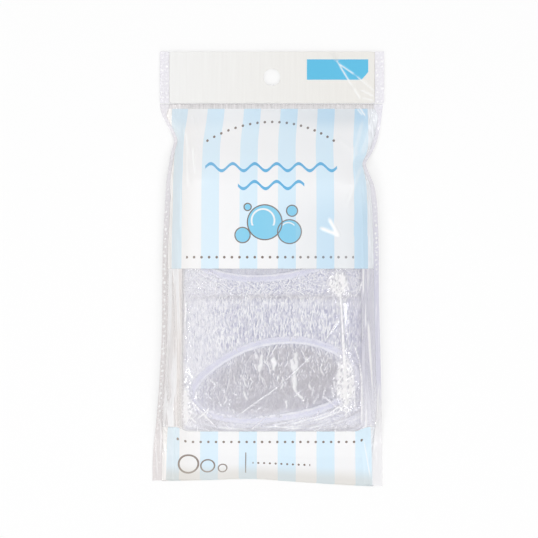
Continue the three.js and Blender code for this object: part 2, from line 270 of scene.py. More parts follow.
def weld_lines(y):
    """The outer and inner edges of both side welds: left outer, left inner, right inner, right outer."""
    turned_under = np.maximum(TURNED_BY_STACKS * bulge(y), TURNED_BY_PINCH * pinch(y))
    shown = WELD_WIDTH * (1 - turned_under)
    left, right = through(LEFT_EDGE, y), through(RIGHT_EDGE, y)
    return left, left + shown, right - shown, right


def film_x(across, y):
    """The place across the bag of a share from -1 to 1 of the way from the middle to the weld."""
    _, left, right, _ = weld_lines(y)
    return np.where(across < 0, -across * left, across * right)


def across_of(x, y):
    """The share of the way from the middle of the film to its weld, from -1 to 1."""
    _, left, right, _ = weld_lines(y)
    return np.clip(np.where(x < 0, -x / left, x / right), -1, 1)


def pillow_height(across, y):
    """The height of the smooth front film: edge + (crown - edge) sqrt(1 - |across|^5)."""
    edge = seam_height(y) + FILM
    crown = BAND_HEIGHT + (STACK_TOP - BAND_HEIGHT) * bulge(y)
    return edge + (crown - edge) * np.sqrt(1 - np.abs(across) ** PILLOW_POWER)


def back_height(x, y):
    """The height of the back film: flat under the stacks, rising to the welds by the square of the way."""
    _, left, right, _ = weld_lines(y)
    half = np.where(x < 0, -left, right)
    lifted = np.clip(np.abs(x) - half + LIFT_WIDTH, 0, None) / LIFT_WIDTH
    return FILM + (seam_height(y) - 2 * FILM) * lifted**2


def foot_shift(x, y):
    """How far the film's lower edge wanders up and down across the foot."""
    return through(FOOT_WAVE, x) * smooth(-y, -CAPS_FOOT + 4, -FOOT_Y)


print("weld lines at the two pinches:", np.round(weld_lines(np.array([60.0, 51.0])), 1).tolist())

# %% [markdown]
# ## Finishes
# Film shows little colour of its own: what is seen is haze, gloss and print. Each finish is a small node
# tree. Trees can be drawn by hand, but a script can't, so a helper adds a node, sets its values and links
# the sockets that it is given, and a tree then reads like a formula. Colours are written as they look on a
# screen and turned into light values. Clear film is a mix of seeing through and of milky plastic, under a
# mirror that grows as the face slants.

# %% Helpers that make materials
WHITE = (1, 1, 1, 1)
CLEAR_TINT = (0.995, 0.995, 0.997, 1)
MIRROR_FACE_ON, MIRROR_SLANTED, MIRROR_POWER = 0.028, 0.6, 5.0


def screen(red, green, blue):
    """A screen colour from 0 to 255 as the linear colour that a shader takes."""
    share = np.array([red, green, blue]) / 255
    linear = np.where(share <= 0.04045, share / 12.92, ((share + 0.055) / 1.055) ** 2.4)
    return (*linear.tolist(), 1.0)


class Finish:
    """A material whose nodes are added one by one."""

    def __init__(self, name):
        self.material = bpy.data.materials.new(name)
        self.material.use_nodes = True
        self.tree = self.material.node_tree
        self.tree.nodes.clear()
        self.output = self.tree.nodes.new("ShaderNodeOutputMaterial")

    def add(self, kind, values=None, **settings):
        """Adds a node. A value that is a socket is linked, and any other is set."""
        made = self.tree.nodes.new(kind)
        for key, setting in settings.items():
            setattr(made, key, setting)
        for key, value in (values or {}).items():
            if isinstance(value, bpy.types.NodeSocket):
                self.tree.links.new(value, made.inputs[key])
            else:
                made.inputs[key].default_value = value
        return made

    def math(self, operation, *values):
        """One Math node with its values in order."""
        return self.add("ShaderNodeMath", dict(enumerate(values)), operation=operation).outputs[0]

    def ramp(self, value, start, end, low=0.0, high=1.0):
        """A straight climb from low, where the value is at its start, to high at its end."""
        return self.add("ShaderNodeMapRange", {0: value, 1: start, 2: end, 3: low, 4: high}).outputs[0]

    def mix(self, share, first, second):
        """The first number where the share is 0, and the second where it is 1."""
        return self.add("ShaderNodeMix", {0: share, 2: first, 3: second}).outputs[0]

    def blend(self, share, first, second):
        """The first colour where the share is 0, and the second where it is 1."""
        made = self.add("ShaderNodeMix", {0: share, 6: first, 7: second}, data_type="RGBA")
        return made.outputs[2]

    def cover(self, share, below, above):
        """The shader below where the share is 0, and the one above where it is 1."""
        return self.add("ShaderNodeMixShader", {0: share, 1: below, 2: above}).outputs[0]

    def value(self, name):
        """A value that the mesh carries at its points."""
        return self.add("ShaderNodeAttribute", attribute_name=name).outputs["Fac"]

    def place(self):
        """The place on the piece, in metres."""
        return self.add("ShaderNodeTexCoord").outputs["Object"]

    def parts(self, vector):
        """The three parts of a vector."""
        return self.add("ShaderNodeSeparateXYZ", {0: vector}).outputs

    def drawn_out(self, place, share):
        """Places for a pattern that is drawn out along the bag: the second part is scaled by the share."""
        return self.add("ShaderNodeMapping", {0: place, "Scale": (1, share, 1)}).outputs[0]

    def noise(self, scale, detail=2.0, place=None):
        """Soft noise from 0 to 1 with about one patch in each 1 / scale metres."""
        values = {"Vector": place or self.place(), "Scale": scale, "Detail": detail}
        return self.add("ShaderNodeTexNoise", values).outputs[0]

    def bump(self, height, depth, strength=1.0):
        """A normal from a height field whose full range is the depth in metres."""
        values = {"Height": height, "Distance": depth, "Strength": strength}
        return self.add("ShaderNodeBump", values).outputs[0]

    def plastic(self, colour, roughness, normal=None, gloss=0.5):
        """A glossy plastic surface."""
        values = {"Base Color": colour, "Roughness": roughness, "Specular IOR Level": gloss}
        if normal:
            values["Normal"] = normal
        return self.add("ShaderNodeBsdfPrincipled", values).outputs[0]

    def clear(self, haze, colour, roughness, normal=None):
        """A clear film: light passes where the haze lets it, and the face mirrors 0.028 + 0.6 slant^5."""
        body = self.plastic(colour, 0.5, normal)
        seen = self.add("ShaderNodeBsdfTransparent", {"Color": CLEAR_TINT}).outputs[0]
        through_film = self.cover(haze, seen, body)
        shine = {"Color": WHITE, "Roughness": roughness}
        facing = {"Blend": 0.5}
        if normal:
            shine["Normal"] = normal
            facing["Normal"] = normal
        gloss = self.add("ShaderNodeBsdfGlossy", shine).outputs[0]
        slant = self.add("ShaderNodeLayerWeight", facing).outputs["Facing"]
        steep = self.math("POWER", slant, MIRROR_POWER)
        mirrored = self.math("MULTIPLY_ADD", steep, MIRROR_SLANTED, MIRROR_FACE_ON)
        return self.cover(mirrored, through_film, gloss)

    def done(self, shader):
        """Links the shader to the output and hands over the material."""
        self.tree.links.new(shader, self.output.inputs["Surface"])
        return self.material


def dress(piece, material, body, slot, *nodes):
    """Gives a piece its finish and the body it rides on, and hides the CAD nodes it stands for. The slot is
    not used.
    """
    piece.data.materials.append(material)
    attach(piece, body)
    if nodes:
        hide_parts(*nodes)
    return piece


print("mid grey on a screen is a light value of", round(screen(128, 128, 128)[0], 3))

# %% [markdown]
# ## Clear film
# The window, the margins and the back are the same clear film. It is nearly invisible face on: what shows
# is a trace of haze, the mirrored lamps and the white lines where a fold has stressed it. Glass would bend
# the view, and film doesn't, so the finish is mostly transparent, with a mirror on top that grows as the
# film slants. A crease value from the mesh adds haze and white, the white partly a painted highlight. The
# slack margins carry painted light and shade: a warm painted reflection on the left, where the film picks
# up the light of the room, and a lavender painted shade on the right, which fades towards the foot.

# %% The clear film finish
CREASE_HAZE = 0.8
GRAIN, GRAIN_DEPTH, GRAIN_STRENGTH = 1300, 0.04, 0.6
WARM_FROM, WARM_TO = -42.5, -45.0
CREAM_PLACE, CREAM_CORE, CREAM_REACH = -44.3, 0.8, 3.6
LAVENDER_FROM, LAVENDER_TO = 41.0, 43.0
LAVENDER_FADES_FROM, LAVENDER_FADES_TO = -50.0, -66.0


def clear_film(name, haze):
    """Clear film with fine ripples: haze 0.8 crease + a trace, whiter by crease squared, partly painted
    highlight.
    """
    finish = Finish(name)
    math = finish.math
    normal = finish.bump(finish.noise(GRAIN, 3), GRAIN_DEPTH * MM, GRAIN_STRENGTH)
    crease = finish.value("crease")
    amount = math("ADD", math("MULTIPLY", crease, CREASE_HAZE), haze)
    side, along, _ = finish.parts(finish.place())
    # Painted reflection: warm on the far left, with a warmer band, for the light of the room in the film.
    warm = finish.ramp(side, WARM_FROM * MM, WARM_TO * MM)
    colour = finish.blend(warm, screen(250, 249, 255), screen(243, 237, 236))
    away = math("ABSOLUTE", math("SUBTRACT", side, CREAM_PLACE * MM))
    cream = finish.ramp(away, CREAM_CORE * MM, CREAM_REACH * MM, 1.0, 0.0)
    colour = finish.blend(cream, colour, screen(252, 243, 238))
    # Painted shade: lavender on the far right, paler towards the foot.
    outward = finish.ramp(side, LAVENDER_FROM * MM, LAVENDER_TO * MM)
    low = finish.ramp(along, LAVENDER_FADES_FROM * MM, LAVENDER_FADES_TO * MM)
    lavender = finish.blend(low, screen(206, 204, 226), screen(242, 241, 255))
    colour = finish.blend(outward, colour, lavender)
    # Whiter along creases, partly a painted highlight.
    colour = finish.blend(math("MULTIPLY", crease, crease), colour, screen(255, 254, 255))
    return finish.done(finish.clear(amount, colour, 0.045, normal))


WINDOW_FILM = clear_film("clear window film", 0.02)
BACK_FILM = clear_film("clear back film", 0.05)
print("clear films:", WINDOW_FILM.name, "and", BACK_FILM.name)

# %% [markdown]
# ## Drawing print with distances
# The front film is printed in pale blue and white stripes, above and below the window, and stays clear
# along its margins. Ink lies in the film, so the pattern is drawn in flat film coordinates: a map that
# counts millimetres across the film along its curve. An image could carry the print, but it would blur
# close up, so stripes, bubbles, waves and dots are all distances that are compared with a width, and their
# edges stay sharp.

# %% Shapes in ink
MAP_UNIT = 100
STRIPE_PITCH, STRIPE_WIDTH, STRIPE_START = 18.2, 8.4, 7.0
WAVE_LENGTH, WAVE_RISE = 10.5, 1.7


class Print:
    """Shapes drawn in the flat coordinates of a film, as masks that are 0 or 1."""

    def __init__(self, finish):
        self.finish = finish
        flat = finish.parts(finish.add("ShaderNodeUVMap", uv_map="flat").outputs[0])
        self.across = finish.math("MULTIPLY", flat[0], MAP_UNIT)
        self.along = finish.math("MULTIPLY", flat[1], MAP_UNIT)

    def length(self, first, second):
        """The root of the sum of two squares."""
        math = self.finish.math
        squares = math("ADD", math("MULTIPLY", first, first), math("MULTIPLY", second, second))
        return math("POWER", squares, 0.5)

    def away(self, x, y):
        """The distance from a point."""
        math = self.finish.math
        return self.length(math("SUBTRACT", self.across, x), math("SUBTRACT", self.along, y))

    def disc(self, x, y, radius):
        """Where the distance from a point is under the radius."""
        return self.finish.math("LESS_THAN", self.away(x, y), radius)

    def ring(self, x, y, radius, line):
        """Where the distance from a point is the radius, give or take half a line."""
        return self.finish.math("COMPARE", self.away(x, y), radius, line / 2)

    def within(self, value, middle, half):
        """Where a value is no further than half a stretch from its middle."""
        return self.finish.math("COMPARE", value, middle, half)

    def both(self, first, second):
        """The part that two masks share."""
        return self.finish.math("MULTIPLY", first, second)

    def either(self, masks):
        """The union of several masks."""
        joined = masks[0]
        for mask in masks[1:]:
            joined = self.finish.math("MAXIMUM", joined, mask)
        return joined

    def off_nearest(self, value, pitch):
        """How far a value is from the nearest whole number of pitches."""
        math = self.finish.math
        turns = math("DIVIDE", value, pitch)
        return math("MULTIPLY", math("SUBTRACT", turns, math("ROUND", turns)), pitch)

    def stripes(self):
        """Upright stripes: the distance from the middle of the nearest one is under half its width."""
        off = self.off_nearest(self.finish.math("SUBTRACT", self.across, STRIPE_START), STRIPE_PITCH)
        return self.within(off, 0.0, STRIPE_WIDTH / 2)

    def wave(self, middle, half, y, line):
        """A water line: a sine along the film, drawn over a stretch of it."""
        math = self.finish.math
        turn = math("MULTIPLY", math("SUBTRACT", self.across, middle), 2 * np.pi / WAVE_LENGTH)
        height = math("ADD", math("MULTIPLY", math("SINE", turn), WAVE_RISE), y)
        return self.both(self.within(self.along, height, line / 2), self.within(self.across, middle, half))

    def dots(self, middle, half, y, pitch, radius):
        """A straight row of dots: the distance from the nearest one is under the radius."""
        math = self.finish.math
        beside = self.off_nearest(math("SUBTRACT", self.across, middle), pitch)
        away = self.length(beside, math("SUBTRACT", self.along, y))
        return self.both(math("LESS_THAN", away, radius), self.within(self.across, middle, half))

    def arc_dots(self, x, y, arc, pitch, half_turn, radius):
        """A row of dots along an arc about a point below it."""
        math = self.finish.math
        angle = math("ARCTAN2", math("SUBTRACT", self.across, x), math("SUBTRACT", self.along, y))
        beside = self.off_nearest(math("MULTIPLY", angle, arc), pitch)
        away = self.length(beside, math("SUBTRACT", self.away(x, y), arc))
        return self.both(math("LESS_THAN", away, radius), self.within(angle, 0.0, half_turn))


print("a stripe of", STRIPE_WIDTH, "mm comes round every", STRIPE_PITCH, "mm")

# %% [markdown]
# ## The printed finish
# On the bag the inks are a pale blue and a white that cover the film, with a few plain ornaments in brown
# and bright blue on top. Each colour could be a piece of its own, but ink has no thickness that shows, so
# they are layers of one finish. The ink carries a painted shade where the film turns from the light, a
# warm painted reflection on the left and painted highlights on sharp creases, and it is darker and warmer
# at the foot. Outside the print the same finish turns into clear film with fine upright ribs of haze.

# %% The printed finish
PRINT_MIDDLE, PRINT_HALF = -1.3, 48.2
UPPER_PRINT_TOP = CREASE_Y - 2.2
PALE_BLUE, INK_WHITE = screen(220, 241, 254), screen(248, 248, 249)
SKY_BLUE, BROWN, DEEP_BLUE = screen(126, 208, 240), screen(112, 92, 80), screen(78, 176, 226)
BUBBLES = [(-3.5, 21.0, 8.2), (8.2, 16.6, 5.6), (-14.0, 15.0, 3.6), (9.4, 26.4, 2.6), (-11.6, 28.2, 1.7)]
INK_LINE, SHINE_FROM = 0.55, 19.5
WATER_LINES = [(-0.5, 31.5, 47.0, 1.5), (-0.5, 15.75, 38.5, 1.5)]
ARC_OF_DOTS = (-1, 13, 56, 3.6, 0.62, 0.62)
UPPER_DOTS = (-1, 40, 4.6, 3.6, 0.62)
LOWER_DOTS = [(-1, 44, -83, 3.6, 0.6), (4.5, 13.5, -94.4, 2.7, 0.5)]
RINGS = [(-39, -94.5, 4.6, 0.9), (-30, -95.6, 3.2, 0.7), (-23, -97, 2, 0.6)]
RULE_ACROSS, RULE_ALONG = (-12.2, 0.22), (-94.2, 5.6)


def upper_ornaments(finish, ink, colour):
    """Bubbles with a brown outline and a white shine, two water lines, and two rows of dots."""
    discs = ink.either([ink.disc(*bubble) for bubble in BUBBLES])
    lines = ink.either([ink.ring(*bubble, INK_LINE) for bubble in BUBBLES])
    shines = ink.either([ink.ring(x - 0.1 * r, y + 0.1 * r, 0.66 * r, 0.1 * r) for x, y, r in BUBBLES[:3]])
    shines = ink.both(shines, finish.math("GREATER_THAN", ink.along, SHINE_FROM))
    waves = ink.either([ink.wave(*line) for line in WATER_LINES])
    dots = ink.either([ink.arc_dots(*ARC_OF_DOTS), ink.dots(*UPPER_DOTS)])
    colour = finish.blend(discs, colour, SKY_BLUE)
    colour = finish.blend(shines, colour, INK_WHITE)
    colour = finish.blend(waves, colour, DEEP_BLUE)
    return finish.blend(ink.either([lines, dots]), colour, BROWN)


def lower_ornaments(finish, ink, colour):
    """Three rings, an upright rule and two rows of dots."""
    rings = ink.either([ink.ring(*ring) for ring in RINGS])
    rule = ink.both(ink.within(ink.across, *RULE_ACROSS), ink.within(ink.along, *RULE_ALONG))
    dots = ink.either([ink.dots(*row) for row in LOWER_DOTS])
    return finish.blend(ink.either([rings, rule, dots]), colour, BROWN)


def ink_shades(finish, ink, stripes, colour):
    """The ink: mottled, with a warm painted reflection on the left, painted shade, a darker foot and painted
    highlights.
    """
    math = finish.math
    mottled = math("MULTIPLY_ADD", finish.noise(60, 2), 0.3, 0.85)
    colour = finish.blend(math("MULTIPLY", mottled, 0.08), colour, screen(214, 212, 216))
    # Painted reflection: a warm tint towards the left edge, for the light of the room.
    left = finish.ramp(ink.across, -30.0, -52.0, 0.0, 0.35)
    colour = finish.blend(left, colour, screen(232, 224, 214))
    # Painted shade where the film turns from the light, bluer on the stripes.
    painted_shade_colour = finish.blend(stripes, screen(200, 210, 218), screen(160, 198, 226))
    colour = finish.blend(finish.value("shaded"), colour, painted_shade_colour)
    # Darker and warmer towards the foot.
    colour = finish.blend(finish.value("foot"), colour, screen(206, 200, 188))
    # Painted highlight on creases.
    return finish.blend(finish.value("shine"), colour, screen(255, 255, 255))


def clear_margin(finish, ink, normal):
    """The film beside the print: hazy in fine upright ribs, and greyer above the print."""
    math = finish.math
    ribs = finish.ramp(finish.noise(700, 2, finish.drawn_out(finish.place(), 0.05)), 0.3, 0.7, 0.0, 0.5)
    haze = math("MULTIPLY_ADD", finish.value("crease"), 0.4, math("ADD", ribs, 0.3))
    # A warm painted reflection of the room's light on the left, turning cooler towards the right.
    right = finish.ramp(ink.across, -20.0, 20.0)
    pale = finish.blend(right, screen(255, 252, 250), screen(247, 250, 255))
    above = math("GREATER_THAN", ink.along, UPPER_PRINT_TOP)
    pale = finish.blend(above, pale, screen(240, 237, 238))
    return finish.clear(haze, pale, 0.08, normal)


def printed_film(name, upper):
    """Film printed with stripes and a few plain ornaments, clear along its two margins."""
    finish = Finish(name)
    ink = Print(finish)
    stripes = ink.stripes()
    colour = finish.blend(stripes, INK_WHITE, PALE_BLUE)
    printed = finish.math("GREATER_THAN", finish.value("margin"), 0.0)
    if upper:
        printed = ink.both(printed, finish.math("LESS_THAN", ink.along, UPPER_PRINT_TOP))
        colour = upper_ornaments(finish, ink, colour)
    else:
        colour = lower_ornaments(finish, ink, colour)
    normal = finish.bump(finish.noise(300, 3), 0.12 * MM, 0.4)
    inked = finish.plastic(ink_shades(finish, ink, stripes, colour), 0.3, normal, 0.4)
    return finish.done(finish.cover(printed, clear_margin(finish, ink, normal), inked))


UPPER_FILM = printed_film("printed upper film", True)
LOWER_FILM = printed_film("printed lower film", False)
print("printed films have", [len(film.node_tree.nodes) for film in (UPPER_FILM, LOWER_FILM)], "nodes")

# %% [markdown]
# ## Marks in the front film
# A bag that has been handled shows soft ridges that fan out from the pinched shoulder, single sharp
# creases, fine white lines over the window and a few crumpled places that gleam. They could be painted on,
# but a crease catches the light from every side only if it is in the shape. So each is a line with two
# ends, a height and a width, and each crumpled place is a bell. Their white is painted on as well, as haze
# that stands partly for painted highlights. The many short lines at the ends of the lower stack are
# scattered by a seeded draw.

# %% Creases, fine lines and crumpled places
SHOULDER_CREASES = [
    ((-50, 74), (-44, 58), 0.7, 1.5),
    ((-43, 72), (-36, 38), 0.5, 1.4),
    ((-38, 74), (-33, 52), 0.3, 1.0),
    ((50, 74), (42, 51), 0.8, 1.6),
    ((44, 73), (37, 46), 0.6, 1.4),
    ((42, 52), (30, 62), 0.4, 1.4),
    ((43, 50), (35, 28), 0.6, 1.4),
]
FRONT_CREASES = [
    ((-40.6, 67.0), (-39.8, 35.0), 0.3, 0.6),
    ((-37.8, 58.0), (-36.2, 43.0), 0.5, 0.5),
    ((41.2, 76.6), (44.8, 71.4), 0.4, 0.45),
    ((40.4, 75.4), (43.2, 72.0), 0.35, 0.4),
    ((46.6, 73.6), (50.4, 72.8), 0.4, 0.45),
    ((26.3, 23.6), (31.6, 14.2), 0.55, 0.9),
    ((21.8, 18.8), (32.4, 14.4), 0.55, 0.9),
    ((43.4, -82.0), (47.0, -100.0), 0.35, 0.4),
    ((41.6, -46), (42.4, -79), 0.3, 0.9),
    ((-41.0, -10), (-41.0, -34), 0.42, 0.6),
]
# Crumpled places, (middle, size, strength): bells whose haze is a painted highlight.
GLINTS = [
    ((34.6, -54.0), (4.4, 11.0), 1.9),
    ((31.0, -8.0), (4.6, 5.6), 1.9),
    ((-40.2, -66.5), (3.0, 10.5), 1.0),
    ((-34.5, -71.0), (5.0, 4.5), 0.5),
    ((-34.0, -9.0), (5.0, 4.5), 0.4),
]
# Fine lines, (start, end, height, width): creases whose white is partly a painted highlight, such as the
# long gleam beside each stack.
FINE_LINES = [
    ((-17.6, -70.8), (4.8, -54.9), 0.14, 0.4),
    ((3.8, -55.6), (20.0, -40.4), 0.12, 0.35),
    ((24.6, -35.0), (31.4, -24.6), 0.14, 0.4),
    ((-38.4, -62.4), (-25.2, -77.0), 0.16, 0.4),
    ((-35.5, -72.0), (-29.0, -66.0), 0.14, 0.4),
    ((-11.0, -78.0), (-3.0, -70.5), 0.12, 0.4),
    ((24.0, -60.5), (31.0, -66.5), 0.14, 0.4),
    ((30.0, -70.0), (36.0, -62.0), 0.14, 0.4),
    ((33.0, -3.0), (36.5, -12.0), 0.14, 0.45),
    ((30.3, -65.0), (36.4, -69.0), 0.16, 0.4),
    ((38.8, -57.0), (39.0, -68.0), 0.14, 0.4),
    ((-40.4, -15.8), (-40.9, -27.0), 0.18, 0.45),
    ((31.9, -9.5), (33.8, -40.0), 0.2, 0.6),
    ((33.2, -31.0), (35.3, -69.0), 0.2, 0.7),
    ((-40.9, -55.5), (-40.5, -76.0), 0.2, 0.9),
    ((38.4, -36.0), (41.3, -44.6), 0.13, 0.45),
    ((41.1, -43.6), (42.3, -54.0), 0.13, 0.5),
    ((42.3, -52.5), (42.3, -77.0), 0.14, 0.5),
    ((42.4, -6.5), (41.0, -12.0), 0.14, 0.45),
]
SHORT_LINES, SHORT_LINE_WIDTH, SHORT_LINE_SEED = 70, 0.36, 19


def scattered_lines(count, seed):
    """Short creases of the window film at seeded places, most of them near the ends of the lower stack."""
    random = np.random.default_rng(seed)
    side = random.choice([-1, 1], count)
    x = side * random.triangular(8, 36, 39, count)
    y = random.choice([-8.0, -68.0, -62.0], count) + random.uniform(-9, 9, count)
    angle = np.pi / 2 - side * random.uniform(-0.3, 1.1, count)
    half = random.uniform(2.5, 8.0, count) / 2
    step_x, step_y = half * np.cos(angle), half * np.sin(angle)
    height = random.uniform(0.06, 0.14, count)
    ends = np.stack([x - step_x, y - step_y, x + step_x, y + step_y], -1)
    return [((a, b), (c, d), rise, SHORT_LINE_WIDTH) for (a, b, c, d), rise in zip(ends, height)]


FINE_LINES += scattered_lines(SHORT_LINES, SHORT_LINE_SEED)


def glints(x, y):
    """Crumpled places as painted highlights: bells about a few points, white in strokes that cross."""
    rising = crumple(0.8 * x - 0.6 * y, 0.25 * (0.8 * y + 0.6 * x), 1.0, 17)
    falling = crumple(0.8 * x + 0.6 * y, 0.25 * (0.8 * y - 0.6 * x), 1.0, 18)
    spots = sum(
        much * bell(x, middle[0], size[0]) * bell(y, middle[1], size[1])
        for middle, size, much in GLINTS
    )
    spots = np.clip(spots, 0, 1)
    strokes = smooth(np.maximum(rising, falling) + 1.3 * spots, 0.9, 1.8)
    return spots, spots * (0.3 + 0.7 * strokes)


def margin_folds(across, x, y):
    """Upright folds in the slack film beside the stacks: a crumple drawn out along the bag."""
    slack = smooth(np.abs(across), 0.84, 0.9) * (1 - smooth(np.abs(across), 0.97, 1.0))
    depth, rise = np.where(x < 0, 0.28, 0.22), np.where(x < 0, 0.3, 0.08)
    return slack * (depth * crumple(x, 0.06 * y, 1.9, 15) + rise)


print("marks:", len(SHOULDER_CREASES) + len(FRONT_CREASES), "creases and", len(FINE_LINES), "fine lines")

# %% [markdown]
# ## The front film
# One formula makes the whole front: the pillow, plus the creases, the fine lines, the folds of the margins
# and a slow ripple. It is cut into three zones where the print ends, as the CAD model is, and each zone is
# a grid whose columns crowd towards the welds, where the film turns down fastest. One grid would do for the
# shape, but the zones have different finishes. The flat map counts along the curve of the film, so that the
# stripes bend with it.

# %% The front film in three zones
PRINT_GATHER = [(-103, 1.02), (-80, 1.01), (0, 0.995), (40, 0.99), (78, 0.965)]
CROWDING = 1.3


def whitened(height, gain, most=1.0, start=0.2):
    """How white a ridge is: gain times its height, less a start, from 0 to a most."""
    return np.clip(gain * height - start, 0, most)


def film_haze(x, y, creased, lines, folds):
    """How white the film is: creases, lines and folds, partly painted highlight; painted light and shade at
    the sides and the print's edge.
    """
    beside = np.clip(np.where(x < 0, 2.6, 2.4) * folds, 0, 0.8)
    # Haze towards the sides: painted light on the left, and on the right more haze, which at the far edge
    # carries the lavender painted shade.
    side_light_and_shade = 0.2 * smooth(-x, 12, 40) + 0.1 * smooth(x, 24, 42) + 0.2 * smooth(x, 41, 43.5)
    marks = whitened(creased, 1.7, 0.9) + whitened(lines, 8.5)
    # The bell at the window's foot is painted light over the shadow that the print's edge casts on the caps.
    return marks + beside + side_light_and_shade + 0.5 * bell(y, WINDOW_FOOT, 0.8)


def film_shine(x, pulled, sharp):
    """Painted highlight on the ink: on sharp creases, a little on soft ones, and a faint painted light on
    the left.
    """
    faint = 0.06 * smooth(-x, 4, 22) * (1 - smooth(-x, 36, 43))
    return whitened(sharp, 2.4) + whitened(pulled, 0.7, 0.25) + faint


def front_film(across, y):
    """The front film: pillow height + creases + folds + a slow ripple, which die away at the welds."""
    x = film_x(across, y)
    free = 1 - np.abs(across) ** 8
    pulled, sharp = ridges(x, y, SHOULDER_CREASES), ridges(x, y, FRONT_CREASES)
    lines = ridges(x, y, FINE_LINES) * (0.85 + 0.4 * crumple(x, y, 1.1, 33))
    folds = margin_folds(across, x, y)
    spots, bright = glints(x, y)
    slack = 0.07 * ripple(x, y, 18, 11) + 0.02 * ripple(x, y, 7, 12)
    slack = slack + 0.22 * spots * crumple(x, 0.8 * y, 2.6, 27)
    z = pillow_height(across, y) + free * (pulled + sharp + lines + folds + slack * bulge(y))
    white = np.clip(film_haze(x, y, pulled + sharp, lines, folds) + bright, 0, 1)
    shine = np.clip(film_shine(x, pulled, sharp), 0, 1)
    lifted = 2.0 * smooth(np.abs(x), 39, 46) * bell(y, WINDOW_FOOT, 10)
    return np.stack([x, y + foot_shift(x, y) + lifted, z], -1), white, shine


def print_place(run, y):
    """Where the ink of a film point is. Film gathered at the shoulder brings the stripes together."""
    return STRIPE_START + (run - STRIPE_START) / through(PRINT_GATHER, y)


def print_lean(run, y):
    """How far the stripes lean to the right where the shoulder pulls them, most of all on the left."""
    return smooth(y, 56, 77) * (1.3 + 0.6 * smooth(-run, 0, 40))


def print_shades(x, y):
    """Painted shade on the print, on the right and under the header, and a darker, warmer foot."""
    slope = smooth(y, 20, 40) * (1 - smooth(y, 62, 72))
    shaded = 0.36 * smooth(x, -14, 38) * smooth(y, -40, 0) * (1 - 0.75 * slope) + 0.2 * smooth(y, 64, 72)
    return {"shaded": shaded, "foot": 0.45 * smooth(-y, 94, 101)}


def print_margin(place):
    """The distance from the nearer side edge of the print, which is below 0 on clear film."""
    return PRINT_HALF - np.abs(place - PRINT_MIDDLE)


def film_zone(name, from_y, to_y, columns, rows):
    """One zone of the front film on a grid, with its flat map in units of 100 mm."""
    crowded = np.sin(CROWDING * np.linspace(-1, 1, columns)) / np.sin(CROWDING)
    across, y = np.meshgrid(crowded, np.linspace(from_y, to_y, rows))
    points, white, shine = front_film(across, y)
    steps = np.hypot(np.diff(points[..., 0]), np.diff(points[..., 2]))
    run = np.concatenate([np.zeros((rows, 1)), steps.cumsum(1)], 1)
    run = run - run[:, columns // 2 : columns // 2 + 1]
    place = print_place(run, y)
    flat = np.stack([place - print_lean(run, y), y], -1) / MAP_UNIT
    fields = {"crease": white, "shine": shine, "margin": print_margin(place)}
    return make_grid(name, points, flat=flat, **fields, **print_shades(points[..., 0], y))


upper = film_zone("front_upper_film", WINDOW_HEAD, CREASE_Y, 291, 160)
window = film_zone("front_window_film", WINDOW_FOOT, WINDOW_HEAD, 291, 160)
lower = film_zone("front_lower_film", FOOT_Y, WINDOW_FOOT, 291, 70)
dress(give_thickness(upper, FILM), UPPER_FILM, "bag", "printed_film", "front_upper_print")
dress(give_thickness(window, FILM), WINDOW_FILM, "bag", "clear_film", "front_window")
dress(give_thickness(lower, FILM), LOWER_FILM, "bag", "printed_film", "front_lower_print")
print("front film zones:", [len(zone.data.vertices) for zone in (upper, window, lower)], "points")

# %% [markdown]
# ## The back film and the bottom fold
# The back film lies on the table and lifts along its margins to meet the welds. At the foot it turns over
# into the front film. Two sheets that only meet there would show a gap from the side, so the turn is a
# piece of its own, a small half round that carries the lower print on.


# %% The back film and the fold
def back_film(columns, rows):
    """The back film as a height over the outline between the welds."""
    across, y = np.meshgrid(np.linspace(-1, 1, columns), np.linspace(FOOT_Y, CREASE_Y, rows))
    x = film_x(across, y)
    points = np.stack([x, y + foot_shift(x, y), back_height(x, y)], -1)[:, ::-1]
    return make_grid("back_film", points, crease=np.zeros(x.shape))


def bottom_fold(columns, rows):
    """A half round that joins the two films at the foot."""
    across, turn = np.meshgrid(np.linspace(-1, 1, columns), np.linspace(-np.pi / 2, np.pi / 2, rows))
    foot = np.full_like(across, FOOT_Y)
    x = film_x(across, foot)
    radius = (BAND_HEIGHT - FILM) / 2
    y = foot + foot_shift(x, foot) - radius * np.cos(turn)
    z = FILM + radius + radius * np.sin(turn)
    flat = np.stack([x, foot], -1) / MAP_UNIT
    fields = {"margin": print_margin(x), **print_shades(x, y)}
    return make_grid("bottom_fold_film", np.stack([x, y, z], -1), flat=flat, **fields)


back = dress(give_thickness(back_film(81, 121), FILM), BACK_FILM, "bag", "clear_film", "back_leaf")
fold = dress(give_thickness(bottom_fold(121, 9), FILM), LOWER_FILM, "bag", "printed_film", "bottom_fold")
print("back film:", len(back.data.vertices), "points, and its fold:", len(fold.data.vertices))

# %% [markdown]
# ## Knurled welds
# Both sides of the bag and of the header are sealed by a hot knurled wheel. It leaves a row of small
# pressed marks, about two millimetres long, which glitter; the glitter is painted white in the finish. A
# bump in the finish would do from straight above, but the marks also show along the edge, so they are real
# geometry: a product of two sines, pressed deeper in some stretches than in others. Lower down, where the
# wheel hardly bit, the weld has upright streaks instead, painted white the same way.

# %% The welds
KNURL_LENGTH, KNURL_WIDTH, KNURL_DEPTH = 2.1, 2.2, 0.16
WELD_COLUMNS, BAG_WELD_ROWS, HEADER_WELD_ROWS = 23, 620, 100
HEADER_WELD_SINK = 0.3


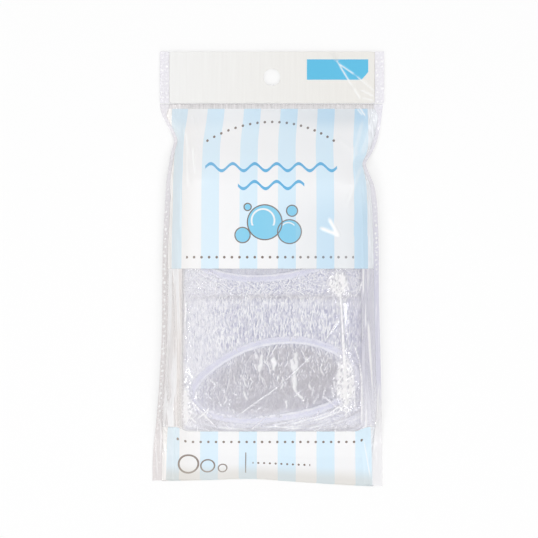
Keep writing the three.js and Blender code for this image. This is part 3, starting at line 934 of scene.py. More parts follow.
def weld_finish():
    """Welded film: milky, a warm painted reflection on the left, a lavender painted shade on the right,
    raised marks painted white.
    """
    finish = Finish("welded film")
    raised, pale = finish.value("raised"), finish.value("pale")
    x, y, _ = finish.parts(finish.place())
    # Painted reflection: warm on the left; painted shade: lavender on the right.
    right = finish.ramp(x, -10 * MM, 10 * MM)
    foot = finish.ramp(y, -52 * MM, -68 * MM)
    lavender = finish.blend(foot, screen(234, 233, 249), screen(254, 253, 255))
    low = finish.blend(right, screen(241, 235, 235), lavender)
    low = finish.blend(pale, low, screen(250, 248, 254))
    # Painted glitter: the raised marks and streaks turn white.
    colour = finish.blend(raised, low, screen(255, 255, 255))
    normal = finish.bump(finish.noise(900, 2), 0.1 * MM, 0.4)
    milk = finish.math("MULTIPLY_ADD", raised, 0.3, finish.math("MULTIPLY_ADD", pale, 0.1, 0.65))
    return finish.done(finish.clear(milk, colour, 0.18, normal))


def weld_pressing(x, y, pale):
    """How hard the wheel pressed: patchy, less where pale or pinched, and least low down on the right."""
    patchy = 0.62 + 0.5 * ripple(x, y, 2.4, 23)
    lower_down = np.where(x < 0, 0.1, 0.95) * smooth(-y, -10, 14)
    at_foot = 0.7 * smooth(-y, 66, 84)
    return (1 - 0.45 * pale) * patchy * (1 - 0.5 * pinch(y)) * (1 - lower_down) * (1 - at_foot)


def weld_strip(name, inner, outer, rows, height, drop, pale):
    """A strip between two edges that drops outwards, with pressed marks and streaks on top."""
    share = np.linspace(0, 1, WELD_COLUMNS)[None, :]
    y = np.broadcast_to(rows[:, None], (len(rows), WELD_COLUMNS))
    x = inner[:, None] + (outer - inner)[:, None] * share
    pale = np.broadcast_to(pale[:, None], x.shape)
    from_edge = np.abs(x - outer[:, None])
    lattice = np.sin(np.pi * from_edge / KNURL_WIDTH) * np.sin(np.pi * y / KNURL_LENGTH)
    marks = smooth(np.abs(lattice) * weld_pressing(x, y, pale), 0.05, 0.85)
    streaks = 0.6 * smooth(crumple(x, 0.07 * y, 1.3, 29), 0.2, 1.1) * smooth(-y, -20, 10)
    raised = np.maximum(marks, streaks) * smooth(share, 0, 0.12) * smooth(1 - share, 0, 0.1)
    z = height[:, None] - drop[:, None] * share + KNURL_DEPTH * raised
    points = np.stack([x, y + foot_shift(x, y), z], -1)
    if outer[0] < inner[0]:
        points, raised = points[:, ::-1], raised[:, ::-1]
    return give_thickness(make_grid(name, points, raised=raised, pale=pale), 2 * FILM)


WELD = weld_finish()
bag_rows = np.linspace(FOOT_Y, CREASE_Y, BAG_WELD_ROWS)
left_outer, left_inner, right_inner, right_outer = weld_lines(bag_rows)
seam = seam_height(bag_rows) + FILM
drop = WELD_DROP * bulge(bag_rows)
pale = 0.8 * smooth(bag_rows, -5, 40)
for node, inner, outer in (
    ("side_weld_left", left_inner, left_outer),
    ("side_weld_right", right_inner, right_outer),
):
    strip = weld_strip(node + "_film", inner, outer, bag_rows, seam, drop, pale)
    dress(strip, WELD, "bag", "welded_film", node)

header_rows = np.linspace(HEADER_Y, HEADER_TOP, HEADER_WELD_ROWS)
level = np.full_like(header_rows, HEADER_Z - HEADER_WELD_SINK)
flat, all_pale = np.zeros_like(header_rows), np.ones_like(header_rows)
for side, node in ((-1, "header_weld_left"), (1, "header_weld_right")):
    outer = np.full_like(header_rows, side * HEADER_HALF)
    strip = weld_strip(node + "_film", outer - side * WELD_WIDTH, outer, header_rows, level, flat, all_pale)
    dress(strip, WELD, "header", "welded_film", node)
print("weld strips:", BAG_WELD_ROWS * WELD_COLUMNS, "points each on the bag")

# %% [markdown]
# ## The header
# The header is a flat flap of white printed film with a round hang hole. A grid has no hole in its middle,
# and a cut would leave ragged faces, so the flap is a ring: one parameter runs round the hole, and the
# other runs from the hole to the rectangle. Fold lines near one corner are ridges in its height, whitened
# by a value that the finish reads, as a painted highlight along each fold.

# %% The header leaves
HOLE_RADIUS = 4.0
HOLE_Y = HEADER_TOP - 12.2
FRONT_LEAF_SINK, BACK_LEAF_LEVEL = 0.15, 0.3
HEADER_CREASES = [
    ((28.6, 102.6), (31.6, 96.6), 0.3, 0.42),
    ((31.2, 97.4), (39.0, 84.6), 0.3, 0.42),
    ((38.6, 85.4), (42.2, 79.4), 0.28, 0.42),
    ((31.0, 97.2), (40.0, 91.0), 0.28, 0.4),
    ((39.2, 91.6), (49.6, 83.0), 0.28, 0.4),
    ((41.4, 84.6), (49.0, 81.0), 0.3, 0.45),
    ((41.8, 80.4), (49.0, 79.2), 0.26, 0.45),
]
BADGE_LOW, BADGE_HIGH = (16.6, 89.1), (45.8, 98.8)
BADGE_SLANT, BADGE_CORNER = 1.15, 40.1


def badge_mask(finish, x, y):
    """A plain rectangle, less the corner under a slanting line."""
    math = finish.math
    wide, tall = (
        math("COMPARE", value, (low + high) / 2, (high - low) / 2)
        for value, low, high in zip((x, y), BADGE_LOW, BADGE_HIGH)
    )
    inside = math("GREATER_THAN", math("MULTIPLY_ADD", x, -BADGE_SLANT, y), BADGE_CORNER)
    return math("MULTIPLY", math("MULTIPLY", wide, tall), inside)


def header_finish(badge):
    """White printed film with faint upright streaks, warmer to the right, and a blue badge in front."""
    finish = Finish("header film with badge" if badge else "header film")
    math = finish.math
    place = finish.parts(finish.place())
    x, y = (math("DIVIDE", place[axis], MM) for axis in (0, 1))
    warm = finish.ramp(x, -50.0, 50.0)
    colour = finish.blend(warm, screen(248, 248, 247), screen(242, 240, 235))
    streaks = finish.noise(900, 3, finish.drawn_out(finish.place(), 0.04))
    colour = finish.blend(math("MULTIPLY", streaks, 0.2), colour, screen(205, 200, 196))
    if badge:
        colour = finish.blend(badge_mask(finish, x, y), colour, screen(98, 194, 232))
        # Painted highlight along the fold lines.
        colour = finish.blend(finish.value("crease"), colour, screen(255, 255, 255))
    normal = finish.bump(streaks, 0.08 * MM, 0.5)
    return finish.done(finish.plastic(colour, 0.25, normal, 0.6))


def header_leaf(name, level, creases, columns=421, rows=111):
    """A ring from the hole to the rectangle: hole + share^1.2 (rectangle - hole), lying nearly flat."""
    turn, share = np.meshgrid(np.linspace(0, 2 * np.pi, columns)[:-1], np.linspace(0, 1, rows) ** 1.2)
    half, low, high = HEADER_HALF - WELD_WIDTH, HEADER_Y - HOLE_Y, HEADER_TOP - HOLE_Y
    cosine, sine = np.cos(turn), np.sin(turn)
    reach_x = half / np.maximum(np.abs(cosine), 1e-9)
    reach_y = np.where(sine < 0, -low, high) / np.maximum(np.abs(sine), 1e-9)
    radius = HOLE_RADIUS + share * (np.minimum(reach_x, reach_y) - HOLE_RADIUS)
    x, y = radius * cosine, HOLE_Y + radius * sine
    creased = ridges(x, y, creases) if creases else np.zeros_like(x)
    slack = 0.12 * ripple(x, y, 30, 21) * smooth(y, HEADER_Y, HEADER_Y + 8)
    points = np.stack([x, y, level + creased + slack], -1)
    # How much painted highlight each fold line gets.
    white = whitened(creased, 3.6, start=0.25)
    return give_thickness(make_grid(name, points[::-1], round_columns=True, crease=white[::-1]), FILM)


front_leaf = header_leaf("header_front_film", HEADER_Z - FRONT_LEAF_SINK, HEADER_CREASES)
back_leaf = header_leaf("header_back_film", BACK_LEAF_LEVEL, [], 161, 31)
dress(front_leaf, header_finish(True), "header", "header_film", "header_front_leaf")
dress(back_leaf, header_finish(False), "header", "header_film", "header_back_leaf")
print("header leaves:", len(front_leaf.data.vertices), "and", len(back_leaf.data.vertices), "points")

# %% [markdown]
# ## The lip and the tape inside the header
# The bag's own lip runs up into the header and is held there by a strip of adhesive tape. Both are hidden
# between the two leaves, and show only in the crease or from the side. Flat boxes would do, but film never
# lies quite flat, so both are grids with a slow ripple.

# %% The lip and the tape
LIP_LEVEL, TAPE_LEVEL = 0.7, 0.95


def strip_film(name, node, level, thickness):
    """A flat strip over a CAD node's outline, with a slow ripple."""
    low, high = node_box(node)
    x, y = np.meshgrid(np.linspace(low[0], high[0], 61), np.linspace(low[1], high[1], 13))
    z = level + 0.03 * ripple(x, y, 20, 31)
    return give_thickness(make_grid(name, np.stack([x, y, z], -1), crease=np.zeros(x.shape)), thickness)


def tape_finish():
    """Clear adhesive tape with a cloudy, mottled glue."""
    finish = Finish("closing tape")
    cloud = finish.math("MULTIPLY_ADD", finish.noise(700, 4), 0.5, 0.2)
    return finish.done(finish.clear(cloud, screen(230, 226, 220), 0.2))


lip = strip_film("sealing_lip_film", "sealing_lip", LIP_LEVEL, FILM)
tape = strip_film("closing_tape_strip", "closing_tape", TAPE_LEVEL, FILM)
dress(lip, WINDOW_FILM, "header", "clear_film", "sealing_lip")
dress(tape, tape_finish(), "header", "closing_tape", "closing_tape")
print("the lip lies", round(TAPE_LEVEL - LIP_LEVEL, 2), "mm under the tape")

# %% [markdown]
# ## The room for the caps
# Ten caps lie in the bag in two stacks of five, one behind the other. Each has an equal share of the height
# between the two films, so a cap near the edge of the bag is thinner than one in the middle. A cap could
# have a shape of its own, but then it would cut through the film. So it asks the bag's formula how much
# room it has.

# %% The stacks and their room
CAPS_PER_STACK, CAP_GAP, BAG_GAP, CAP_FILM_THICKNESS = 5, 0.3, 0.35, 0.15
STACK_SHIFT = 0.5
STACKS = {
    "lower": CAPS_FOOT + CAP_SIZE[1] / 2 + STACK_SHIFT,
    "upper": CAPS_HEAD - CAP_SIZE[1] / 2 - STACK_SHIFT,
}


def cap_layer(x, y, layer):
    """The underside and the thickness of the space that one cap has between the two films."""
    front = pillow_height(across_of(x, y), y) - CAP_FILM_THICKNESS - BAG_GAP
    back = back_height(x, y) + CAP_FILM_THICKNESS + BAG_GAP
    pitch = (front - back + CAP_GAP) / CAPS_PER_STACK
    return back + layer * pitch, pitch - CAP_GAP


def room_above(x, y):
    """The highest place under the front film, lower in the margins, where the film is folded."""
    across = across_of(x, y)
    return front_film(across, y)[0][..., 2] - FILM - 0.1 - 0.3 * smooth(np.abs(across), 0.8, 0.86)


print("the middles of the stacks are at", np.round(list(STACKS.values()), 1), "mm along the pack")

# %% [markdown]
# ## The mouths
# Each cap has an oval mouth that leans a little, with a peaked upper edge. The lower one lies open to view
# and is dark inside. The upper one faces the other way, and only its rim shows. A mouth could be cut out as
# a curve, but the cap and its hem both have to follow it. So it is a frame of coordinates in which the
# mouth is a unit circle, and inside is simply where the radius is under 1.

# %% The mouths
Mouth = namedtuple("Mouth", "middle_x middle_y wide_x wide_y tall_x tall_y swell")
MOUTHS = {
    "lower": Mouth(1.6, -6.7, 38.4, 2.6, 0.0, 18.4, 1.0),
    "upper": Mouth(0.5, -5.5, 39.0, 2.0, 4.0, 18.6, 0.0),
}
MOUTH_SHADE = {"lower": 1.0, "upper": 0.1}
FACING = {"lower": 1, "upper": -1}


def mouth_swell(turn, amount):
    """How far the mouth is from its oval at an angle: it leans, with a peaked upper edge."""
    return 1 + amount * (0.05 * np.sin(2 * turn) - 0.047 * np.sin(3 * turn) - 0.02 * np.sin(turn) - 0.01)


def mouth_frame(x, y, mouth):
    """Coordinates in which the mouth, a leaning oval that swells here and there, is a unit circle."""
    area = mouth.wide_x * mouth.tall_y - mouth.wide_y * mouth.tall_x
    along, up = x - mouth.middle_x, y - mouth.middle_y
    across = (along * mouth.tall_y - up * mouth.tall_x) / area
    high = (up * mouth.wide_x - along * mouth.wide_y) / area
    radius = mouth_swell(np.arctan2(high, across), mouth.swell)
    return across / radius, high / radius


def mouth_line(turn, mouth):
    """The edge of the mouth at an angle: middle + swell (cosine wide + sine tall)."""
    radius = mouth_swell(turn, mouth.swell)
    x = mouth.middle_x + radius * (mouth.wide_x * np.cos(turn) + mouth.tall_x * np.sin(turn))
    y = mouth.middle_y + radius * (mouth.wide_y * np.cos(turn) + mouth.tall_y * np.sin(turn))
    return x, y


edge_x, edge_y = mouth_line(np.linspace(0, 2 * np.pi, 721), MOUTHS["lower"])
edge_length = float(np.hypot(np.diff(edge_x), np.diff(edge_y)).sum())
print("the edge of the lower mouth is", round(edge_length), "mm round")

# %% [markdown]
# ## Folded caps
# A cap is a wide disc of very thin film, gathered on an elastic and folded into a flat packet. What shows
# is its crumpled top with an oval mouth. Cloth could be simulated into such a packet, but its folds would
# fall anywhere. So each packet is a height over a rounded rectangle: the room that the bag leaves for it,
# less the sunk mouth, plus pleats that fan out from the elastic, soft hoops below the mouth, a few long
# folds inside it, and crumples of three sizes. The top is held under the front film. The packet also says,
# point by point, how white, dim or calm it is, and the finish reads that.

# %% The packet of a folded cap
CAP_CORNER_POWER = 40.0
CAP_SPREAD_X, CAP_SPREAD_Y = 0.5, 1.5
HALF_X, HALF_Y = CAP_SIZE[0] / 2 + CAP_SPREAD_X, CAP_SIZE[1] / 2 + CAP_SPREAD_Y
RIM_POWER_X, RIM_POWER_Y = 36, 24
EDGE_WAVE = 0.4
MOUTH_DEPTH = 1.1
PLEAT_PITCH = 2.4
INNER_FOLDS = [
    ((-6.1, 13.0), (-7.8, 3.8), 0.7, 0.75),
    ((-7.8, 4.2), (-5.0, -2.5), 0.4, 0.4),
    ((-0.9, 11.6), (-0.7, 4.3), 0.7, 0.75),
    ((9.2, 13.4), (10.1, 7.4), 0.9, 0.8),
    ((10.2, 8.4), (8.7, 2.0), 0.9, 0.8),
    ((8.7, 3.2), (9.3, -5.6), 0.9, 0.8),
    ((9.1, -4.4), (13.5, -9.4), 0.8, 0.5),
    ((7.3, 10.4), (8.4, 3.6), 0.7, 0.75),
    ((14.4, 11.3), (15.4, 8.4), 0.5, 0.5),
    ((-16.4, 3.6), (-13.5, -3.4), 0.5, 0.4),
    ((-15.3, -4.4), (-13.3, -9.4), 0.6, 0.4),
    ((-9.9, 13.1), (-8.9, 10.2), 0.5, 0.5),
    ((5.5, -9.0), (4.9, -13.2), 0.6, 0.4),
    ((-20.0, 3.0), (-18.4, -2.2), 0.4, 0.4),
    ((3.6, 1.6), (2.5, -4.8), 0.4, 0.4),
    ((-23.1, -6.8), (-24.1, -11.4), 0.4, 0.4),
    ((20.9, 6.4), (22.9, 1.8), 0.4, 0.4),
    ((15.7, -1.2), (16.8, -4.8), 0.4, 0.4),
]


def pleats(x, y, seed):
    """Gathers that run up from the elastic: tent waves along x, spread about a point below the cap."""
    place = x * 95 / (y + 100) + 0.5 * ripple(x, y, 9, seed) + 0.3 * ripple(x, y, 4, seed + 1)
    return tent(place / PLEAT_PITCH)


class Packet:
    """One folded cap: its plan, the zones of its top, its heights and the values that its finish reads."""

    def __init__(self, stack, columns, rows, seed):
        self.mouth, self.shade, self.facing = MOUTHS[stack], MOUTH_SHADE[stack], FACING[stack]
        self.centre_y, self.seed, self.rows, self.columns = STACKS[stack], seed, rows, columns
        self.lay_out()
        self.mark_zones()

    def patchy(self, size, shift, middle, swing):
        """A share from 0 to 1 that varies in patches: middle + swing times a crumple."""
        return np.clip(middle + swing * crumple(self.x, self.y, size, self.seed + shift), 0, 1)

    def lay_out(self):
        """The plan: rings |x / a|^40 + |y / b|^40 = share^40 about the middle, with a wavy outer edge."""
        square_x, square_y = np.meshgrid(np.linspace(-1, 1, self.columns), np.linspace(-1, 1, self.rows))
        self.share = np.maximum(np.abs(square_x), np.abs(square_y))
        angle = np.arctan2(square_y * HALF_Y, square_x * HALF_X)
        cosine, sine = np.abs(np.cos(angle)) / HALF_X, np.abs(np.sin(angle)) / HALF_Y
        reach = (cosine**CAP_CORNER_POWER + sine**CAP_CORNER_POWER) ** (-1 / CAP_CORNER_POWER)
        x, self.y = self.share * reach * np.cos(angle), self.share * reach * np.sin(angle)
        wave = EDGE_WAVE * self.share**8 * np.clip(0.5 * ripple(x, self.y, 9, self.seed + 6) - 0.4, -1, 0)
        self.x = x * (1 + wave / HALF_X)
        rim = np.maximum(np.abs(square_x) ** RIM_POWER_X, np.abs(square_y) ** RIM_POWER_Y)
        self.full = np.sqrt(np.clip(1 - rim, 0, 1))

    def mark_zones(self):
        """The zones of the top: inside the mouth, gathered above it, hoops below it, and folds in it."""
        x, y, mouth = self.x, self.y, self.mouth
        self.mouth_x, self.mouth_y = mouth_frame(x, y, mouth)
        self.ring = np.hypot(self.mouth_x, self.mouth_y)
        self.inside = 1 - smooth(self.ring, 0.88, 1.0)
        self.gathered = smooth(self.mouth_y, 0.2, 0.9) * (1 - self.inside)
        self.below = (self.facing > 0) * smooth(-self.mouth_y, 0.35, 0.9) * (1 - self.inside)
        self.hoops = self.below * crumple(0.1 * x, 18 * self.ring, 1.9, self.seed + 11)
        bent_x = x - mouth.middle_x + 0.3 * ripple(x, y, 4, self.seed + 3)
        folds = ridges(bent_x, y - mouth.middle_y, INNER_FOLDS)
        self.folds = np.minimum(folds, 0.9) * self.inside

    def heights(self, layer):
        """The top and the base: half the room up and down from its middle, with lumps, under the film."""
        x, y, seed, full = self.x, self.y, self.seed, self.full
        under, thickness = cap_layer(x, self.centre_y + y, layer)
        sizes = (0.14, 7, 0), (0.12, 3.2, 5), (0.06, 1.5, 9)
        rough = sum(height * crumple(x, y, size, seed + shift) for height, size, shift in sizes)
        lumps = 0.16 * self.gathered * pleats(x, y, seed) + self.folds + rough + 0.08 * self.hoops
        sunk = MOUTH_DEPTH * (0.15 + 0.85 * self.shade) * self.inside
        middle = under + thickness / 2
        top = middle + full * (thickness / 2 - sunk + lumps - 0.2)
        base = middle - full * thickness / 2 + 0.3 * full * rough
        return np.minimum(top, room_above(x, self.centre_y + y)), base

    def whiteness(self):
        """White on the folds, partly painted highlight, and painted light on the rim, the far end, a line
        near the upper edge and the hoops.
        """
        edge = smooth(self.share, 0.93, 0.99) * self.patchy(6, 7, 0.45, 0.4)
        end = smooth(-self.facing * self.y, 23, 29) * self.patchy(2.5, 8, 0.5, 0.5)
        line = (self.facing > 0) * bell(HALF_Y - self.y, 4.4, 1.2) * self.patchy(5, 2, 0.6, 0.4)
        rims = np.maximum(0.6 * edge, 0.4 * end * (1 - self.inside))
        return whitened(self.folds, 3) + rims + 0.4 * line + 0.9 * smooth(self.hoops, 0.3, 1.2)

    def dimness(self):
        """Painted shade in the mouth, over its own greyer film, most right of its middle, where the stacks
        meet and between the hoops.
        """
        deep = bell(self.mouth_x, 0.35, 0.5) * bell(self.mouth_y, 0.1, 0.6)
        sunk = self.shade * (1 - smooth(self.ring, 0.76, 0.99))
        in_mouth = sunk * (0.7 + 0.45 * deep + 0.1 * ripple(self.x, self.y, 9, self.seed + 4))
        at_edge = 0.7 * bell(HALF_Y - self.facing * self.y, 0.9, 1.6)
        return in_mouth + at_edge + 0.8 * self.below * smooth(-self.hoops, -0.3, 0.9)

    def values(self):
        """What the finish reads at each point of the plan."""
        smooth_part = self.inside * smooth(0.25 * self.mouth_x - self.mouth_y, -0.1, 0.4)
        # lit is painted light towards the left, turned is painted shade where the cap turns down at the
        # right.
        return {
            "calm": np.maximum(smooth_part, 0.7 * self.below),
            "dim": self.dimness(),
            "gathered": np.maximum(self.gathered, 0.8 * self.inside),
            "fold": self.whiteness(),
            "lit": smooth(-self.x, 12, 40) * (1 - self.inside),
            "turned": 0.5 * smooth(self.x, 34, 41) * smooth(self.y, -24, -8),
        }

    def make(self, name, layer):
        """A closed mesh: the top and the turned base over one plan, joined along the rim."""
        y = self.centre_y + self.y
        sides = [np.stack([self.x, y, z], -1).reshape(-1, 3) for z in self.heights(layer)]
        faces = grid_faces(self.rows, self.columns)
        count = self.share.size
        rim = np.flatnonzero(self.share.ravel() > 0.9999)
        base_index = np.arange(count) + count
        base_index[rim] = rim
        both = np.concatenate([faces, base_index[faces[:, ::-1]]])
        used, both = np.unique(both, return_inverse=True)
        fields = {key: np.tile(value.ravel(), 2)[used] for key, value in self.values().items()}
        return make_mesh(name, np.concatenate(sides)[used], both.reshape(-1, 4), **fields)


print("a packet is", np.round([2 * HALF_X, 2 * HALF_Y], 1), "mm, with", len(INNER_FOLDS), "long folds")

# %% [markdown]
# ## Small creases in a finish
# Between the folds that are in its shape, cap film is covered with hundreds of short straight creases, each
# a white line, partly the film's own white and partly a painted highlight, with a painted shade beside it.
# As geometry they would take millions of faces, so they are drawn in the finish. A cell pattern gives each
# patch a point and three random numbers. They turn the crease, choose whether it is drawn and set its
# strength. Under them are flat facets as a bump, and a fine painted speckle of glints and shades.

# %% Short creases, facets and speckle
CREASE_LAYERS = [(1.7, 1.6, 0.27, 0.010, 0.5), (2.7, 2.8, 0.3, 0.020, 0.45)]
CREASE_LAYERS += [(4.4, 5.0, 0.3, 0.033, 0.4), (8.0, 9.0, 0.27, 0.047, 0.4)]
FACET_LAYERS = [(380.0, 0.12), (950.0, 0.28)]
STEEP, STEEP_SPREAD = np.pi / 2 - 0.35, 0.7


class Creases:
    """Short straight creases, one to a patch: a white line, partly painted highlight, with a painted shade
    beside it.
    """

    def __init__(self, finish, place, upright):
        self.finish, self.place, self.upright = finish, place, upright

    def scatter(self, patch, length, width, shift, share):
        """One crease in each patch of about that many millimetres, for a share of them: line and shade."""
        finish, math = self.finish, self.finish.math
        shifted = {0: self.place, "Location": (shift, 0.7 * shift, 0)}
        moved = finish.add("ShaderNodeMapping", shifted).outputs[0]
        cells = {"Vector": moved, "Scale": 1 / (patch * MM)}
        cell = finish.add("ShaderNodeTexVoronoi", cells, voronoi_dimensions="2D").outputs
        ends = {0: moved, 1: cell["Position"]}
        offset = finish.add("ShaderNodeVectorMath", ends, operation="SUBTRACT").outputs[0]
        chance = finish.add("ShaderNodeSeparateColor", {0: cell["Color"]}).outputs
        any_way = math("MULTIPLY", chance[0], np.pi)
        steep = math("MULTIPLY_ADD", chance[0], STEEP_SPREAD, STEEP)
        angle = finish.mix(self.upright, any_way, steep)
        turn = {"Vector": offset, "Angle": math("MULTIPLY", angle, -1.0)}
        turned = finish.add("ShaderNodeVectorRotate", turn, rotation_type="Z_AXIS").outputs[0]
        along, beside, _ = finish.parts(turned)
        near = finish.ramp(math("ABSOLUTE", along), 0.3 * length * MM, 0.5 * length * MM, 1.0, 0.0)
        often = finish.ramp(finish.noise(140, 2, moved), 0.36, 0.64, 0.3 * share, 1.7 * share)
        drawn = math("MULTIPLY", near, math("LESS_THAN", chance[1], often))
        drawn = math("MULTIPLY", drawn, math("MULTIPLY_ADD", chance[2], 0.8, 0.35))
        return self.band(beside, 0.0, width, drawn), self.band(beside, 1.7 * width, 1.3 * width, drawn)

    def band(self, beside, middle, width, drawn):
        """1 on a line beside the crease, falling to 0 at a width from it."""
        math = self.finish.math
        away = math("ABSOLUTE", math("SUBTRACT", beside, middle * MM))
        return math("MULTIPLY", self.finish.ramp(away, 0.35 * width * MM, width * MM, 1.0, 0.0), drawn)


def facet_height(finish, place):
    """Crumpled relief in metres: for each layer, the distance from the nearest crease times a slope."""
    height = None
    for scale, slope in FACET_LAYERS:
        values = {"Vector": place, "Scale": scale}
        distance = finish.add("ShaderNodeTexVoronoi", values, feature="DISTANCE_TO_EDGE").outputs["Distance"]
        rise = finish.math("MULTIPLY", distance, slope / scale)
        height = finish.math("ADD", height, rise) if height else rise
    return height


def speckle(finish, place):
    """Painted fine glints and shades from 0 to 1: soft noise of two fine sizes, its middle tones pulled
    apart.
    """
    bright = finish.ramp(finish.noise(1350, 1, place), 0.51, 0.58)
    dark = finish.ramp(finish.noise(1050, 1, place), 0.38, 0.48)
    mean = finish.math("MULTIPLY_ADD", bright, 0.45, finish.math("MULTIPLY", dark, 0.35))
    return finish.math("MULTIPLY_ADD", finish.noise(420, 2, place), 0.2, mean)


print("small creases come in", len(CREASE_LAYERS), "sizes, from", CREASE_LAYERS[0][1], "mm long")

# %% [markdown]
# ## The caps and their finish
# The film of a cap is lavender white where it is crumpled, greyer inside the mouth, and calm where it lies
# smooth. Real film is clear, and the colour comes from many layers of it. Ten clear layers would be slow to
# render and noisy, so the finish is a pale plastic with a thin glossy coat, and the crumpled bump turns the
# coat more than the body. Light and shade are partly painted into its colour: highlights and shades on the
# creases, a speckle of glints, light towards the left, and shade in the mouth, at the right edge and
# between the stacks.

# %% The ten caps
TOP_CAP_GRID, HIDDEN_CAP_GRID = (217, 169), (61, 47)
FIRST_SEED, SEED_STEP = {"lower": 40, "upper": 540}, 17


def cap_finish():
    """Crumpled cap film: lavender white under fine white creases, greyer in the mouth, with painted light
    and shade.
    """
    finish = Finish("cap film")
    math = finish.math
    place = finish.place()
    waves = {"Vector": place, "Scale": 300.0, "Detail": 2.0}
    drift = finish.add("ShaderNodeTexNoise", waves).outputs["Color"]
    bend = {0: drift, 1: (0.7 * MM, 0.7 * MM, 0.0), 2: place}
    bent = finish.add("ShaderNodeVectorMath", bend, operation="MULTIPLY_ADD").outputs[0]
    upright = finish.drawn_out(bent, 0.3)
    gathered, calm = finish.value("gathered"), finish.value("calm")
    creases = Creases(finish, bent, gathered)
    line, shade = creases.scatter(*CREASE_LAYERS[0])
    for layer in CREASE_LAYERS[1:]:
        other_line, other_shade = creases.scatter(*layer)
        line, shade = math("MAXIMUM", line, other_line), math("MAXIMUM", shade, other_shade)
    thin = math("MULTIPLY_ADD", calm, -0.8, 1.0)
    # White creases and folds, partly the film's own white and partly a painted highlight.
    white = math("MAXIMUM", math("MULTIPLY", line, thin), finish.value("fold"))
    height = finish.mix(gathered, facet_height(finish, bent), facet_height(finish, upright))
    tone = finish.mix(gathered, speckle(finish, bent), speckle(finish, upright))
    # Painted light towards the left.
    tone = math("MULTIPLY_ADD", finish.value("lit"), 0.38, tone)
    tone = finish.mix(math("MULTIPLY", calm, 0.7), tone, 0.5)
    outer = finish.blend(tone, screen(173, 173, 200), screen(254, 254, 255))
    inner = finish.blend(tone, screen(172, 169, 176), screen(211, 208, 215))
    # Greyer in the mouth, its own film and painted shade; painted shade where the stacks meet and between
    # hoops.
    colour = finish.blend(finish.value("dim"), outer, inner)
    # Painted shade where the cap turns down at the right edge.
    colour = finish.blend(finish.value("turned"), colour, screen(184, 182, 208))
    # Painted shade beside each short crease.
    grey = math("MULTIPLY", math("MULTIPLY", shade, thin), 0.5)
    colour = finish.blend(grey, colour, screen(158, 158, 182))
    colour = finish.blend(white, colour, screen(254, 254, 255))
    soft, sharp = finish.bump(height, 0.6), finish.bump(height, 1.0)
    values = {"Base Color": colour, "Roughness": 0.35, "Specular IOR Level": 0.3, "Normal": soft}
    values |= {"Coat Weight": 1.0, "Coat Roughness": 0.1, "Coat IOR": 1.7, "Coat Normal": sharp}
    return finish.done(finish.add("ShaderNodeBsdfPrincipled", values).outputs[0])


CAP = cap_finish()
for stack in STACKS:
    for layer in range(CAPS_PER_STACK):
        node = f"cap_film_{stack}_{layer + 1}"
        on_top = layer == CAPS_PER_STACK - 1
        grid = TOP_CAP_GRID if on_top else HIDDEN_CAP_GRID
        packet = Packet(stack, *grid, FIRST_SEED[stack] + SEED_STEP * layer)
        cap = packet.make(f"cap_packet_{stack}_{layer + 1}", layer)
        dress(cap, CAP, "bag", "cap_film", node)
print("a top cap has", len(cap.data.vertices), "points, and its finish", len(CAP.node_tree.nodes), "nodes")

# %% [markdown]
# ## Elastic hems
# Each mouth is bound by a narrow hem with the elastic inside. Fine gathers run across it, because the film
# is much longer than the elastic. A curve with a bevel would be round all along, so the hem is a flattened
# tube along the oval: one parameter runs round the mouth, and the other round the section. It stays under
# the front film too.

# %% The hems
HEM_HALF_WIDTH, HEM_HALF_HEIGHT, HEM_SINK, HEM_CLEARANCE = 1.85, 0.35, 0.3, 0.4
TOP_HEM_GRID, HIDDEN_HEM_GRID = (720, 14), (120, 8)


def elastic_hem(name, stack, layer, steps, sides):
    """A closed tube along the mouth: an oval section whose size swells with each gather."""
    once_round = (np.linspace(0, 2 * np.pi, count + 1)[:-1] for count in (steps, sides))
    turn, section = np.meshgrid(*once_round)
    x, y = mouth_line(turn, MOUTHS[stack])
    normal_x = np.roll(y, -1, 1) - np.roll(y, 1, 1)
    normal_y = np.roll(x, 1, 1) - np.roll(x, -1, 1)
    length = np.hypot(normal_x, normal_y)
    y = STACKS[stack] + y
    under, thickness = cap_layer(x, y, layer)
    gather = 1 + 0.05 * np.sin(110 * turn + 2 * np.sin(5 * turn)) + 0.05 * np.sin(31 * turn)
    edge = np.cos(section)
    out = HEM_HALF_WIDTH * gather * edge
    x, y = x + out * normal_x / length, y + out * normal_y / length
    level = np.minimum(under + thickness - HEM_SINK, room_above(x, y) - HEM_CLEARANCE)
    points = np.stack([x, y, level + HEM_HALF_HEIGHT * gather * np.sin(section)], -1)
    # rim: where the two painted highlights lie, along the edges of the hem.
    rim = 0.5 * bell(edge, 0.75, 0.2) + bell(edge, -0.7, 0.25)
    return make_grid(name, points, round_rows=True, round_columns=True, rim=rim)


def elastic_finish():
    """White elastic under thin film: soft, a little lavender, with fine threads and painted highlights on
    two edges.
    """
    finish = Finish("elastic hem")
    math = finish.math
    threads = finish.noise(1400, 2)
    patches = math("MULTIPLY_ADD", finish.noise(260, 2), 0.8, math("MULTIPLY", threads, 0.9))
    bright = math("MULTIPLY_ADD", finish.value("rim"), 0.6, math("SUBTRACT", patches, 0.72))
    colour = finish.blend(bright, screen(216, 216, 233), screen(253, 253, 255))
    normal = finish.bump(threads, 0.2 * MM, 0.5)
    return finish.done(finish.plastic(colour, 0.4, normal, 0.5))


